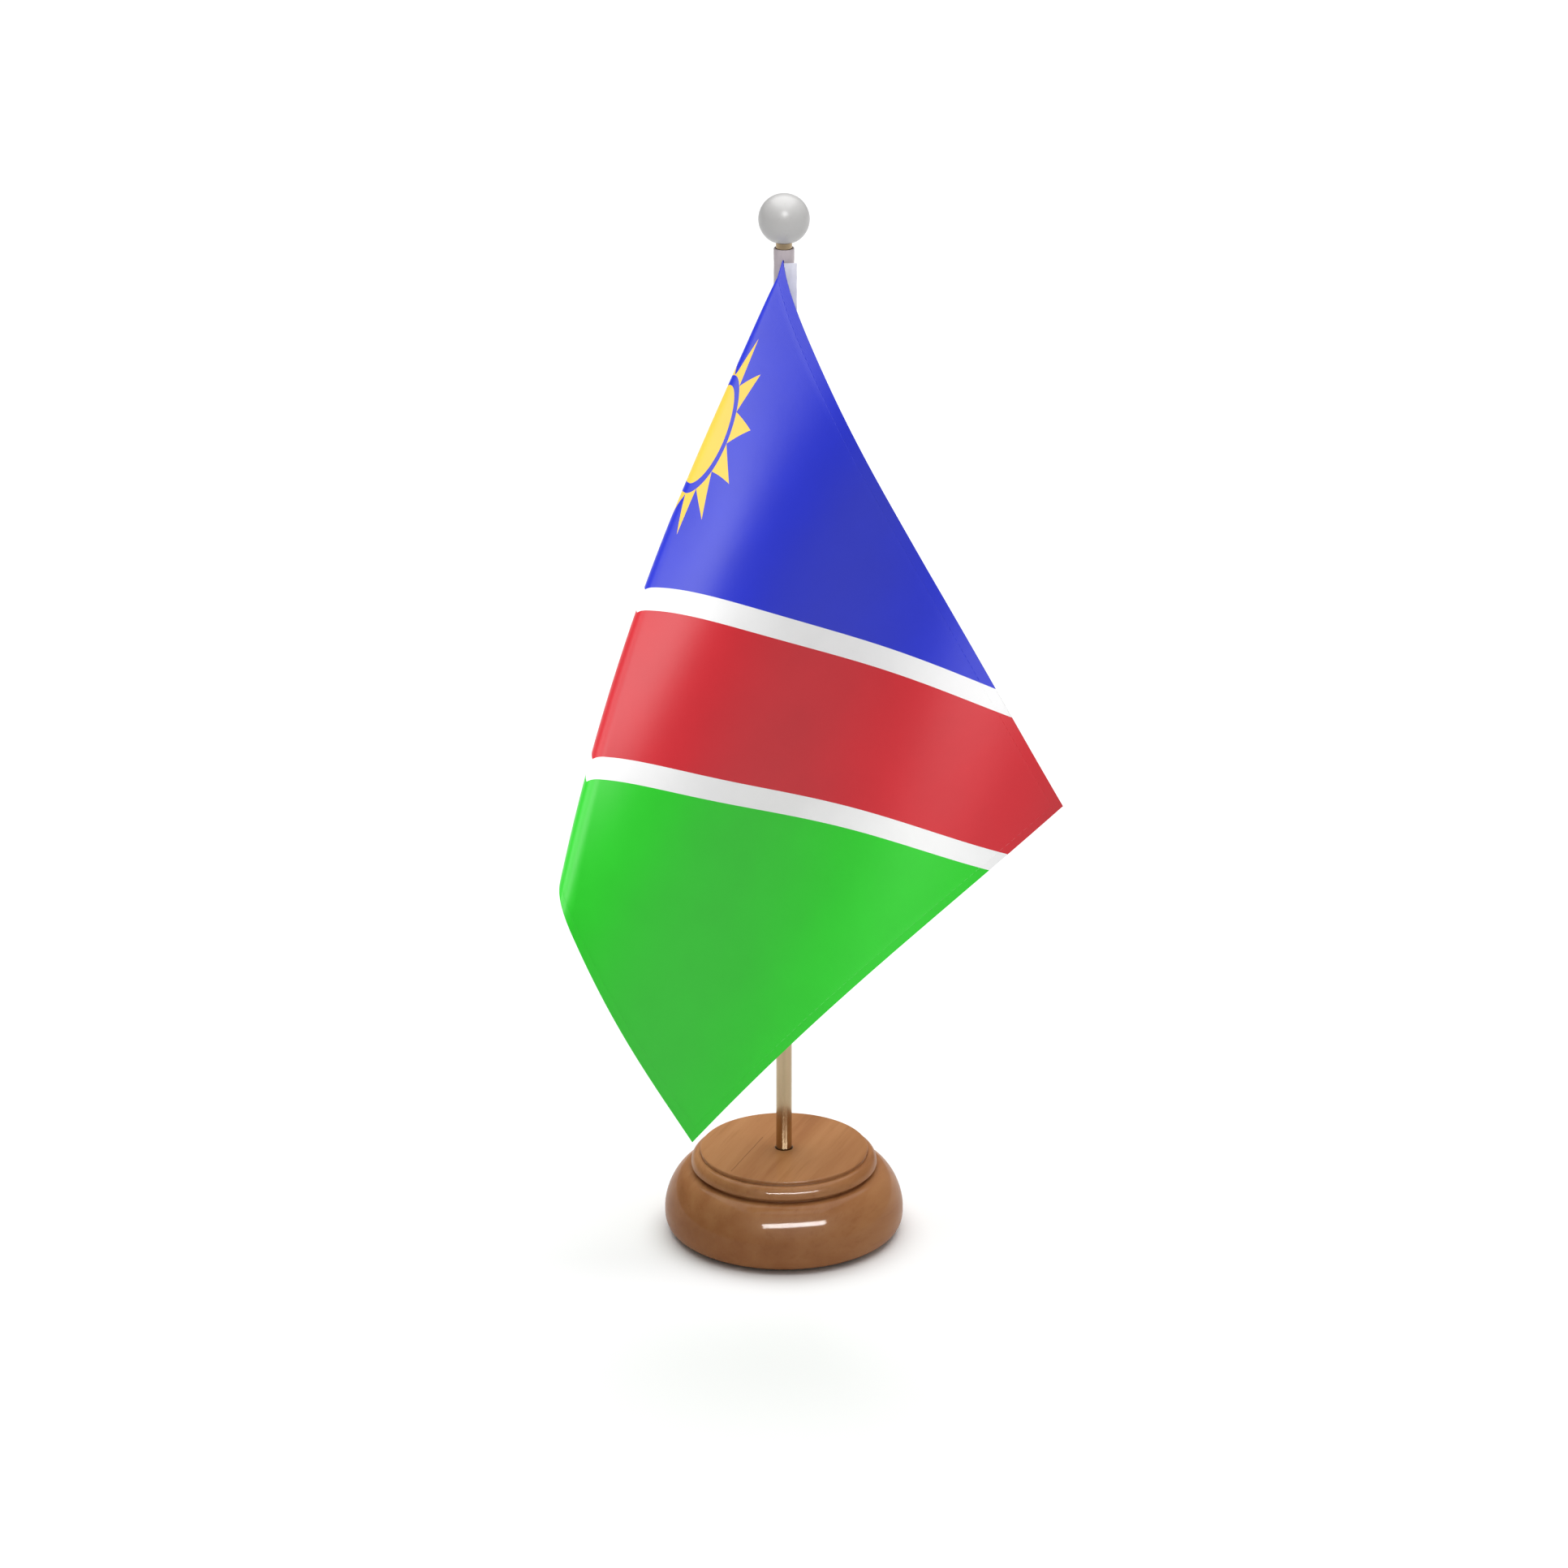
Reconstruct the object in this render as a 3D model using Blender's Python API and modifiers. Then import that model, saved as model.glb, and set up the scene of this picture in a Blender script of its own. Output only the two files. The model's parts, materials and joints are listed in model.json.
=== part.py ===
"""Desk flag stand: a turned wooden base, a screwed-in metal pole with a ball finial, and a satin flag.

The origin is the centre of the base's resting face, +Z is up along the pole, and the flag's
face looks towards -Y. Lengths are metres, written as millimetres times MM.
"""

import math

import bpy
import numpy as np

MM = 0.001
OBJECT_NAME = "desk_flag_stand"

# Running and press fits are drawn with this gap, so that no two solids touch.
FIT_GAP = 0.3 * MM

# Wooden base
BASE_RADIUS = 38.0 * MM
BASE_HEIGHT = 27.4 * MM
BASE_WAIST_HEIGHT = 7.4 * MM  # height of the widest circle
BASE_SHOULDER_DEPTH = 8.1 * MM  # radial reach of the rounded body, from its crown to the widest circle
BASE_CROWN_DROP = 6.5 * MM  # from the top face down to the crown of the rounded body
BASE_RIM_LIFT = 0.5 * MM  # the wooden rim stays this far off the table
TOP_FACE_INSET = 11.7 * MM  # rim of the flat top, in from the widest circle
TOP_FACE_RADIUS = BASE_RADIUS - TOP_FACE_INSET
TOP_FACE_EDGE = 0.4 * MM
STEP_INSET = 8.4 * MM  # foot of the stepped ring, in from the widest circle
STEP_RADIUS = BASE_RADIUS - STEP_INSET
STEP_DROP = 1.4 * MM
UPPER_CURVE_POWER = 1.69
LOWER_CURVE_POWER = 3.3

# Felt pad under the base
FELT_INSET = 5.0 * MM
FELT_RADIUS = BASE_RADIUS - FELT_INSET
FELT_THICKNESS = 1.6 * MM

# Metal pole
POLE_RADIUS = 2.5 * MM
POLE_WALL = 0.5 * MM
POLE_BORE_RADIUS = POLE_RADIUS - POLE_WALL
POLE_SEAT_DEPTH = 4.7 * MM
POLE_END_BEVEL = 0.2 * MM

# Threaded studs pressed into the tube, and the brass inserts that they screw into
STUD_PRESS_LENGTH = 14.0 * MM
FOOT_THREAD_LENGTH = 12.4 * MM
TOP_THREAD_LENGTH = 7.2 * MM
BASE_INSERT_WALL = 1.7 * MM
BASE_INSERT_RADIUS = POLE_BORE_RADIUS + BASE_INSERT_WALL
BASE_INSERT_LENGTH = 14.0 * MM
BALL_INSERT_WALL = 1.0 * MM
BALL_INSERT_RADIUS = POLE_BORE_RADIUS + BALL_INSERT_WALL
BALL_INSERT_LENGTH = 8.0 * MM
INSERT_RING_DEPTH = 0.35 * MM
INSERT_RINGS = 3

# Ball finial
TOTAL_HEIGHT = 342.3 * MM
BALL_RADIUS = 7.8 * MM
BALL_FLAT_RADIUS = 4.0 * MM
BALL_CENTRE_HEIGHT = TOTAL_HEIGHT - BALL_RADIUS

# Flag cloth, cut size
FLAG_FLY = 225.0 * MM
FLAG_HOIST = 150.0 * MM
CLOTH_THICKNESS = 0.8 * MM
CLOTH_BACK_COLUMNS = 8  # facets across the cloth behind the fold, round it and in front of it
CLOTH_FOLD_COLUMNS = 6
CLOTH_FRONT_COLUMNS = 16
CLOTH_ROWS = 22

# Flag sleeve and header tape
SLEEVE_WALL = 0.4 * MM
SLEEVE_NECK_GAP = 2.3 * MM  # bare pole between the sleeve's mouth and the ball
SLEEVE_OVERHANG = 7.0 * MM  # the sleeve is this much longer than the flag's hoist
SLEEVE_LENGTH = FLAG_HOIST + SLEEVE_OVERHANG
HEADER_TOP_GAP = 3.8 * MM  # the header tape starts this far below the sleeve's mouth
HEADER_THICKNESS = 0.5 * MM
HEADER_LEFT = -0.6 * MM
HEADER_RIGHT = 3.9 * MM

# How the cloth hangs. Each corner is measured from the top of its hoist edge.
HOIST_OFFSET = -0.2 * MM  # the hoist edge lies this far to the side of the pole's axis
HOIST_TOP_DROP = 2.7 * MM  # and its top this far below the sleeve's mouth
FLY_TOP = np.array((85.4, -30.3, -163.8)) * MM
FLY_FOOT = np.array((-28.4, -50.3, -271.4)) * MM
FOLD_FOOT = np.array((-69.3, -54.3, -184.8)) * MM
FOLD_SHARE = 0.62  # the fold meets the foot edge at this share of the fly
TOP_EDGE_BOW = np.array((-4.4, 0.0, -2.2)) * MM
FOOT_EDGE_BOW = np.array((-2.0, 0.0, -1.0)) * MM
FOLD_BOW = np.array((-7.8, 0.0, -2.6)) * MM
TOP_EDGE_BELLY = 12.0 * MM
WAVE_HEIGHT = 8.0 * MM
WAVE_LENGTH = 112.0 * MM
WAVE_CREST = 20.0 * MM  # distance of the first crest from the fold
WAVE_GROWS_OVER = 90.0 * MM
BACK_BULGE = 0.27  # bulge of the cloth behind the fold, as a share of its width
FOLD_ROUND_TOP = 1.5 * MM
FOLD_ROUND_FOOT = 10.5 * MM
LEAST_REACH = 0.001 * MM  # keeps the fold's rounding from vanishing at the top corner
WELD_DISTANCE = 0.002 * MM

# Facets of the turned pieces
BASE_FACETS = 56
BALL_FACETS = 32
POLE_FACETS = 24
SMOOTH_ANGLE = math.radians(32)


def clear_scene():
    for obj in list(bpy.data.objects):
        bpy.data.objects.remove(obj, do_unlink=True)


def make_collection():
    collection = bpy.data.collections.new(OBJECT_NAME)
    bpy.context.scene.collection.children.link(collection)
    return collection


def make_material(name, colour, roughness, metallic=0.0):
    material = bpy.data.materials.new(name)
    material.use_nodes = True
    shader = material.node_tree.nodes["Principled BSDF"]
    shader.inputs["Base Color"].default_value = (*colour, 1.0)
    shader.inputs["Roughness"].default_value = roughness
    shader.inputs["Metallic"].default_value = metallic
    return material


def varnished_wood():
    return make_material("varnished_wood", (0.34, 0.15, 0.055), 0.18)


def dark_felt():
    return make_material("dark_felt", (0.02, 0.05, 0.035), 0.95)


def champagne_metal():
    return make_material("champagne_metal", (0.62, 0.47, 0.33), 0.2, metallic=1.0)


def bright_steel():
    return make_material("bright_steel", (0.6, 0.6, 0.6), 0.3, metallic=1.0)


def turned_brass():
    return make_material("turned_brass", (0.78, 0.57, 0.25), 0.3, metallic=1.0)


def white_plastic():
    return make_material("white_plastic", (0.8, 0.8, 0.79), 0.15)


def white_satin():
    return make_material("white_satin", (0.75, 0.72, 0.76), 0.5)


def printed_satin():
    return make_material("printed_satin", (0.1, 0.15, 0.75), 0.45)


def add_mesh_object(collection, name, mesh, material):
    mesh.materials.append(material)
    obj = bpy.data.objects.new(name, mesh)
    collection.objects.link(obj)
    return obj


def move_to(collection, obj, name):
    """Names an object made by an operator and moves it to the collection."""
    obj.name = name
    obj.data.name = name
    for other in obj.users_collection:
        other.objects.unlink(obj)
    collection.objects.link(obj)
    return obj


def apply_modifiers(obj):
    graph = bpy.context.evaluated_depsgraph_get()
    flat = obj.data
    obj.data = bpy.data.meshes.new_from_object(obj.evaluated_get(graph))
    obj.modifiers.clear()
    bpy.data.meshes.remove(flat)
    obj.data.name = obj.name


def turned(collection, name, outline, facets, material, closed=False):
    """A piece turned about its own Z axis. The outline holds (radius, height) pairs that run down
    the outer side, top to bottom. A closed outline goes on up the wall of a through bore."""
    mesh = bpy.data.meshes.new(name)
    edges = [(i, i + 1) for i in range(len(outline) - 1)]
    if closed:
        edges.append((len(outline) - 1, 0))
    mesh.from_pydata([(radius, 0.0, height) for radius, height in outline], edges, [])
    obj = add_mesh_object(collection, name, mesh, material)
    screw = obj.modifiers.new("turn", "SCREW")
    screw.axis = "Z"
    screw.angle = 2 * math.pi
    screw.steps = facets
    screw.render_steps = facets
    screw.use_merge_vertices = True
    screw.merge_threshold = 0.00001
    apply_modifiers(obj)
    obj.data.shade_smooth()
    obj.data.set_sharp_from_angle(angle=SMOOTH_ANGLE)
    return obj


def arc(centre_radius, centre_height, radius, start, end, steps):
    """Points on a circular arc in the outline's plane. Angles are degrees from +X."""
    points = []
    for i in range(steps + 1):
        angle = math.radians(start + (end - start) * i / steps)
        points.append((
            centre_radius + radius * math.cos(angle),
            centre_height + radius * math.sin(angle),
        ))
    return points


def superellipse_quarter(reach, rise, power, steps):
    """(outwards, upwards) points of a rounded quarter, from its top to its widest point."""
    points = []
    for i in range(steps + 1):
        angle = math.pi / 2 * (1 - i / steps)
        points.append((
            reach * math.cos(angle) ** (2 / power),
            rise * math.sin(angle) ** (2 / power),
        ))
    return points


def step_outline():
    """The stepped ring between the base's flat top and its rounded body."""
    inner = TOP_FACE_RADIUS + TOP_FACE_EDGE
    ledge = BASE_HEIGHT - STEP_DROP
    width = STEP_RADIUS - inner
    bead = superellipse_quarter(width, BASE_CROWN_DROP - STEP_DROP - TOP_FACE_EDGE, 2.0, 5)
    foot = ledge - (BASE_CROWN_DROP - STEP_DROP - TOP_FACE_EDGE)
    outline = [
        (TOP_FACE_RADIUS, BASE_HEIGHT),
        (inner, BASE_HEIGHT - TOP_FACE_EDGE),
        (inner, ledge),
    ]
    outline += [(inner + out, foot + up) for out, up in bead[1:]]
    return outline


def body_outline():
    """The rounded body of the base, from its crown to the rim that faces the table."""
    crown = BASE_HEIGHT - BASE_CROWN_DROP
    centre = BASE_RADIUS - BASE_SHOULDER_DEPTH
    upper = superellipse_quarter(
        BASE_SHOULDER_DEPTH, crown - BASE_WAIST_HEIGHT, UPPER_CURVE_POWER, 9)
    lower = superellipse_quarter(
        BASE_SHOULDER_DEPTH, BASE_WAIST_HEIGHT - BASE_RIM_LIFT, LOWER_CURVE_POWER, 8)
    outline = [(centre + out, BASE_WAIST_HEIGHT + up) for out, up in upper[1:]]
    outline += [(centre + out, BASE_WAIST_HEIGHT - up) for out, up in reversed(lower[2:-1])]
    return outline


def pole_foot_height():
    return BASE_HEIGHT - POLE_SEAT_DEPTH


def ball_flat_height():
    return BALL_CENTRE_HEIGHT - math.sqrt(BALL_RADIUS**2 - BALL_FLAT_RADIUS**2)


def pole_top_height():
    return ball_flat_height() - FIT_GAP


def stud_radius():
    return POLE_BORE_RADIUS - FIT_GAP


def make_wood_base(collection, material):
    """Turned base. The tube seats in the narrow bore above, the brass insert is pressed in from below."""
    seat_radius = POLE_RADIUS + FIT_GAP
    insert_bore = BASE_INSERT_RADIUS + FIT_GAP
    recess_radius = FELT_RADIUS + FIT_GAP
    recess_ceiling = FELT_THICKNESS + FIT_GAP
    outline = [(seat_radius, BASE_HEIGHT)]
    outline += step_outline()
    outline += body_outline()
    outline += [
        (recess_radius, BASE_RIM_LIFT),
        (recess_radius, recess_ceiling),
        (insert_bore, recess_ceiling),
        (insert_bore, pole_foot_height()),
        (seat_radius, pole_foot_height()),
    ]
    return turned(collection, "wood_base", outline, BASE_FACETS, material, closed=True)


def make_base_felt(collection, material):
    outline = [(0.0, FELT_THICKNESS), (FELT_RADIUS, FELT_THICKNESS), (FELT_RADIUS, 0.0), (0.0, 0.0)]
    return turned(collection, "base_felt", outline, BASE_FACETS, material)


def make_insert(collection, name, radius, length, foot, material):
    """Brass bush with grip rings outside and the stud's thread, drawn as a plain bore, inside."""
    bore = stud_radius() + FIT_GAP
    ring = length / (2 * INSERT_RINGS + 1)
    outline = []
    for i in range(INSERT_RINGS + 1):
        crest = foot + length - 2 * i * ring
        outline += [(radius, crest), (radius, crest - ring)]
        if i < INSERT_RINGS:
            outline += [
                (radius - INSERT_RING_DEPTH, crest - ring),
                (radius - INSERT_RING_DEPTH, crest - 2 * ring),
            ]
    outline += [(bore, foot), (bore, foot + length)]
    return turned(collection, name, outline, POLE_FACETS, material, closed=True)


def make_base_insert(collection, material):
    foot = pole_foot_height() - FIT_GAP - BASE_INSERT_LENGTH
    return make_insert(
        collection, "base_insert", BASE_INSERT_RADIUS, BASE_INSERT_LENGTH, foot, material)


def make_finial_insert(collection, material):
    foot = ball_flat_height() + FIT_GAP
    return make_insert(
        collection, "finial_insert", BALL_INSERT_RADIUS, BALL_INSERT_LENGTH, foot, material)


def make_stud(collection, name, low, high, material):
    """Threaded rod, drawn plain, with bevelled ends."""
    radius = stud_radius()
    bevel = POLE_END_BEVEL
    outline = [
        (0.0, high),
        (radius - bevel, high),
        (radius, high - bevel),
        (radius, low + bevel),
        (radius - bevel, low),
        (0.0, low),
    ]
    return turned(collection, name, outline, POLE_FACETS, material)


def make_foot_stud(collection, material):
    foot = pole_foot_height()
    return make_stud(
        collection, "foot_stud", foot - FOOT_THREAD_LENGTH, foot + STUD_PRESS_LENGTH, material)


def make_top_stud(collection, material):
    top = pole_top_height()
    return make_stud(
        collection, "top_stud", top - STUD_PRESS_LENGTH, top + TOP_THREAD_LENGTH, material)


def make_pole_tube(collection, material):
    low = pole_foot_height()
    high = pole_top_height()
    outline = [
        (POLE_BORE_RADIUS, high),
        (POLE_RADIUS - POLE_END_BEVEL, high),
        (POLE_RADIUS, high - POLE_END_BEVEL),
        (POLE_RADIUS, low + POLE_END_BEVEL),
        (POLE_RADIUS - POLE_END_BEVEL, low),
        (POLE_BORE_RADIUS, low),
    ]
    return turned(collection, "pole_tube", outline, POLE_FACETS, material, closed=True)


def make_finial_ball(collection, material):
    """Ball knob with a flat underside and a blind bore for its insert."""
    flat_angle = -math.degrees(math.acos(BALL_FLAT_RADIUS / BALL_RADIUS))
    bore = BALL_INSERT_RADIUS + FIT_GAP
    bore_top = ball_flat_height() + 2 * FIT_GAP + BALL_INSERT_LENGTH
    outline = arc(0.0, BALL_CENTRE_HEIGHT, BALL_RADIUS, 90, flat_angle, 18)
    outline += [(bore, ball_flat_height()), (bore, bore_top), (0.0, bore_top)]
    outline[0] = (0.0, BALL_CENTRE_HEIGHT + BALL_RADIUS)
    return turned(collection, "finial_ball", outline, BALL_FACETS, material)


def sleeve_radius():
    return POLE_RADIUS + FIT_GAP + SLEEVE_WALL


def sleeve_top_height():
    return ball_flat_height() - SLEEVE_NECK_GAP


def make_flag_sleeve(collection, material):
    inner = POLE_RADIUS + FIT_GAP
    high = sleeve_top_height()
    low = high - SLEEVE_LENGTH
    outline = [
        (inner, high),
        (sleeve_radius(), high),
        (sleeve_radius(), low),
        (inner, low),
    ]
    return turned(collection, "flag_sleeve", outline, POLE_FACETS, material, closed=True)


def header_front():
    return -(sleeve_radius() + FIT_GAP + HEADER_THICKNESS)


def make_flag_header(collection, material):
    """The header tape: a flat strip stitched along the front of the sleeve."""
    high = sleeve_top_height() - HEADER_TOP_GAP
    low = high - FLAG_HOIST
    bpy.ops.mesh.primitive_cube_add(size=1.0)
    obj = move_to(collection, bpy.context.active_object, "flag_header")
    obj.location = (
        (HEADER_LEFT + HEADER_RIGHT) / 2,
        header_front() + HEADER_THICKNESS / 2,
        (high + low) / 2,
    )
    obj.scale = (HEADER_RIGHT - HEADER_LEFT, HEADER_THICKNESS, high - low)
    bpy.ops.object.transform_apply(location=False, rotation=False, scale=True)
    obj.data.materials.append(material)
    return obj


def hoist_top():
    """Top end of the cloth's hoist edge, in front of the header tape."""
    return np.array((
        HOIST_OFFSET,
        header_front() - FIT_GAP - CLOTH_THICKNESS / 2,
        sleeve_top_height() - HOIST_TOP_DROP,
    ))


def panel_normal():
    """Unit vector out of the front panel, towards the side that the flag is seen from."""
    normal = np.cross(FLY_TOP, FLY_FOOT)
    return normal / np.linalg.norm(normal) * -np.sign(normal[1])


def column(values):
    return np.asarray(values)[..., None]


def bowed(start, end, share, bow):
    """Points from start to end, pushed aside by up to bow at the middle."""
    share = column(share)
    return start + (end - start) * share + 4 * share * (1 - share) * bow


def wave(points):
    """A long swell across the panel, running parallel with the fold and fading out at the top corner."""
    along = FOLD_FOOT / np.linalg.norm(FOLD_FOOT)
    across = np.linalg.norm(points - column(points @ along) * along, axis=-1)
    grown = np.clip(np.linalg.norm(points, axis=-1) / WAVE_GROWS_OVER, 0, 1)
    grown = grown**2 * (3 - 2 * grown)
    turn = 2 * math.pi / WAVE_LENGTH
    return WAVE_HEIGHT * grown * (np.cos(turn * (across - WAVE_CREST)) - math.cos(turn * WAVE_CREST))


def front_panel(across, down):
    """The part seen from the front, stretched between the top, fly, foot and fold edges."""
    start = np.zeros(3)
    belly = column(4 * across * (1 - across)) * TOP_EDGE_BELLY * panel_normal()
    top_edge = bowed(start, FLY_TOP, across, TOP_EDGE_BOW) + belly
    foot_edge = bowed(FOLD_FOOT, FLY_FOOT, across, FOOT_EDGE_BOW)
    fold_edge = bowed(start, FOLD_FOOT, down, FOLD_BOW)
    fly_edge = bowed(FLY_TOP, FLY_FOOT, down, start)
    a, d = column(across), column(down)
    corners = a * (1 - d) * FLY_TOP + (1 - a) * d * FOLD_FOOT + a * d * FLY_FOOT
    points = (1 - d) * top_edge + d * foot_edge + (1 - a) * fold_edge + a * fly_edge - corners
    return points + column(wave(points)) * panel_normal()


def back_panel(across, down):
    """The part between the hoist edge and the fold, which bulges away behind the front panel."""
    hoist = column(-FLAG_HOIST * down) * np.array((0.0, 0.0, 1.0))
    chord = bowed(np.zeros(3), FOLD_FOOT, down, FOLD_BOW) - hoist
    sideways = np.stack((chord[..., 1], -chord[..., 0], np.zeros_like(chord[..., 0])), axis=-1)
    bulge = BACK_BULGE * column(np.sin(math.pi * across))
    return hoist + chord * column(across) + sideways * bulge


def fold_line(down):
    """How far along the fly the fold lies, and how far its rounding reaches to either side."""
    fold = FOLD_SHARE * FLAG_FLY * down
    reach = FOLD_ROUND_TOP + (FOLD_ROUND_FOOT - FOLD_ROUND_TOP) * down
    return fold, np.minimum(reach, np.maximum(fold, LEAST_REACH))


def sharp_drape(fly, down):
    """The cloth with a sharp fold, from the hoist edge out to the fly edge."""
    fold, _ = fold_line(down)
    behind = np.clip(fly / np.maximum(fold, LEAST_REACH), 0, 1)
    ahead = np.clip((fly - fold) / (FLAG_FLY - fold), 0, 1)
    return np.where(column(fly <= fold), back_panel(behind, down), front_panel(ahead, down))


def drape(fly, down):
    """Where points of the cut cloth hang: fly is measured from the hoist edge, and down is the share
    of the hoist from the top edge."""
    fold, reach = fold_line(down)
    turn = column(np.clip((fly - fold + reach) / (2 * reach), 0, 1))
    rounded = (
        (1 - turn) ** 2 * sharp_drape(fold - reach, down)
        + 2 * turn * (1 - turn) * sharp_drape(fold, down)
        + turn**2 * sharp_drape(fold + reach, down)
    )
    inside = column(np.abs(fly - fold) < reach)
    return hoist_top() + np.where(inside, rounded, sharp_drape(fly, down))


def cloth_columns(columns, down):
    """Distances from the hoist edge at which the facets' columns lie, so that they follow the fold."""
    fold, reach = fold_line(down)
    last_back = CLOTH_BACK_COLUMNS
    last_fold = last_back + CLOTH_FOLD_COLUMNS
    behind = (fold - reach) * columns / last_back
    around = fold - reach + 2 * reach * (columns - last_back) / CLOTH_FOLD_COLUMNS
    ahead = (columns - last_fold) / CLOTH_FRONT_COLUMNS
    front = fold + reach + (FLAG_FLY - fold - reach) * ahead
    return np.where(columns <= last_back, behind, np.where(columns <= last_fold, around, front))


def make_flag_cloth(collection, material):
    """The draped cloth, as a thin shell."""
    columns = CLOTH_BACK_COLUMNS + CLOTH_FOLD_COLUMNS + CLOTH_FRONT_COLUMNS
    bpy.ops.mesh.primitive_grid_add(x_subdivisions=columns, y_subdivisions=CLOTH_ROWS, size=1.0)
    obj = move_to(collection, bpy.context.active_object, "flag_cloth")
    flat = np.array([vertex.co for vertex in obj.data.vertices])
    down = 0.5 - flat[:, 1]
    hung = drape(cloth_columns((flat[:, 0] + 0.5) * columns, down), down)
    for vertex, place in zip(obj.data.vertices, hung):
        vertex.co = place
    weld = obj.modifiers.new("top_corner", "WELD")
    weld.merge_threshold = WELD_DISTANCE
    shell = obj.modifiers.new("thickness", "SOLIDIFY")
    shell.thickness = CLOTH_THICKNESS
    shell.offset = 0.0
    obj.data.shade_smooth()
    obj.data.materials.append(material)
    return obj


def main():
    clear_scene()
    collection = make_collection()
    brass = turned_brass()
    steel = bright_steel()
    satin = white_satin()
    make_wood_base(collection, varnished_wood())
    make_base_felt(collection, dark_felt())
    make_base_insert(collection, brass)
    make_foot_stud(collection, steel)
    make_pole_tube(collection, champagne_metal())
    make_top_stud(collection, steel)
    make_finial_insert(collection, brass)
    make_finial_ball(collection, white_plastic())
    make_flag_sleeve(collection, satin)
    make_flag_header(collection, satin)
    make_flag_cloth(collection, printed_satin())


main()
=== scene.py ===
"""Looks of the desk flag stand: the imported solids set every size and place, and this script
dresses them.

Lengths are metres, written as millimetres times MM. +Z is up along the pole, and the flag's face
looks towards -Y.
"""

import json
import math

import bmesh
import bpy
import numpy as np
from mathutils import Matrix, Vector

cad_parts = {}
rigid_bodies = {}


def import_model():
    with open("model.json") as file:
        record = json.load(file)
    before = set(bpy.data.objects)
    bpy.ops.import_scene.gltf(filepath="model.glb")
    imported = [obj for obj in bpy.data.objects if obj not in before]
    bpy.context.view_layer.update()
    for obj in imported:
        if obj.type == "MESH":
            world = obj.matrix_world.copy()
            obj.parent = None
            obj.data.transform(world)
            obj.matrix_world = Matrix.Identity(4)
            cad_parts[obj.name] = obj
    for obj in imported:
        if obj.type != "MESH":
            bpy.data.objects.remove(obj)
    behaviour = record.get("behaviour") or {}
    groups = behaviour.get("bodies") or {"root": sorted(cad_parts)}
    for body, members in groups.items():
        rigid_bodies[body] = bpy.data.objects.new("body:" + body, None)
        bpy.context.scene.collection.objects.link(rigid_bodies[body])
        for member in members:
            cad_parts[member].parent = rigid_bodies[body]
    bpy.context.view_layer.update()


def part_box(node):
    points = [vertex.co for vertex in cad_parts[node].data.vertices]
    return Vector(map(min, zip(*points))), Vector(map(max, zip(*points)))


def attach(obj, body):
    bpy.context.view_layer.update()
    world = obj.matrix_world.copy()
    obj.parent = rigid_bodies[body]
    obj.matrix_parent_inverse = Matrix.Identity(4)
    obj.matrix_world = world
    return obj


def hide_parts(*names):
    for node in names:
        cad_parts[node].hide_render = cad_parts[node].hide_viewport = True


MM = 0.001

# Studio. The world is dimmer low down and on the left, and the lights' powers are in watts.
WORLD_LOW = 0.14
WORLD_HIGH = 0.50
WORLD_LEFT_DIM = 0.13
WORLD_LOW_AT = -0.2  # height at which the sky is dimmest, as a share of straight up
LIGHT_AIM = (0.0, 0.0, 0.16)
GLINT_POWER = 120.0
OVERHEAD_POWER = 138.0
SOFT_FRONT_POWER = 13.0
FLAG_KEY_POWER = 16.5
FLAG_SHEEN_POWER = 14.0
FLOOR_SIZE = 14.0
FLOOR_DROP = 0.1 * MM  # keeps the floor from fighting with the felt's face

# Camera: about two metres in front of the stand, looking down on it
CAMERA_DISTANCE = 1.9
CAMERA_HEIGHT = 0.8973
CAMERA_TILT_DEG = 21.43
CAMERA_LENS_MM = 150.4
CAMERA_SENSOR_MM = 36.0
CAMERA_FARTHEST = 50.0

# Fineness of the meshes
EDGE_STEPS = 5
BASE_FACETS = 160
FELT_FACETS = 120
POLE_FACETS = 64
STUD_FACETS = 32
INSERT_FACETS = 120
BALL_FACETS = 96
BALL_STEPS = 56
SLEEVE_FACETS = 72
SLEEVE_ROWS = 150
LIP_STEPS = 8
HEADER_ROWS = 220
HEADER_COLUMNS = 14
SMOOTH_BELOW_DEG = 35.0
SHEET_SMOOTH_BELOW_DEG = 50.0
WELD_DISTANCE = 0.001 * MM

# Base outline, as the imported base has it
BASE_WAIST_HEIGHT = 7.4 * MM
BASE_SHOULDER_DEPTH = 8.1 * MM
BASE_CROWN_DROP = 6.5 * MM
TOP_FACE_RADIUS = 26.3 * MM
TOP_FACE_EDGE = 0.4 * MM
STEP_RADIUS = 29.6 * MM
STEP_DROP = 1.4 * MM
STEP_UNDERCUT = 0.3 * MM  # the tool's nick under the top disc
STEP_NICK_OUT = 0.1 * MM
STEP_NICK_DROP = 0.15 * MM
BEAD_STEPS = 20
BEAD_CURVE_POWER = 2.0
BEAD_TURN_IN = 0.25 * MM
BEAD_TURN_DROP = 0.2 * MM
GROOVE_HEIGHT = 1.2 * MM
GROOVE_DEPTH = 1.4 * MM
GROOVE_ROOF_DROP = 0.3 * MM
GROOVE_SILL_DROP = 0.2 * MM
UPPER_CURVE_POWER = 1.69
UPPER_CURVE_STEPS = 36
LOWER_CURVE_POWER = 3.3
LOWER_CURVE_STEPS = 32
UNDERSIDE_STEPS = 3  # steps of the lower curve that lie flat on the underside
SEAT_GAP = 0.3 * MM
SEAT_EDGE = 0.2 * MM
FACES_DOWN = -0.9  # upward part of a normal, below which a face is left unvarnished
FELT_GAP = 0.3 * MM

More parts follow.
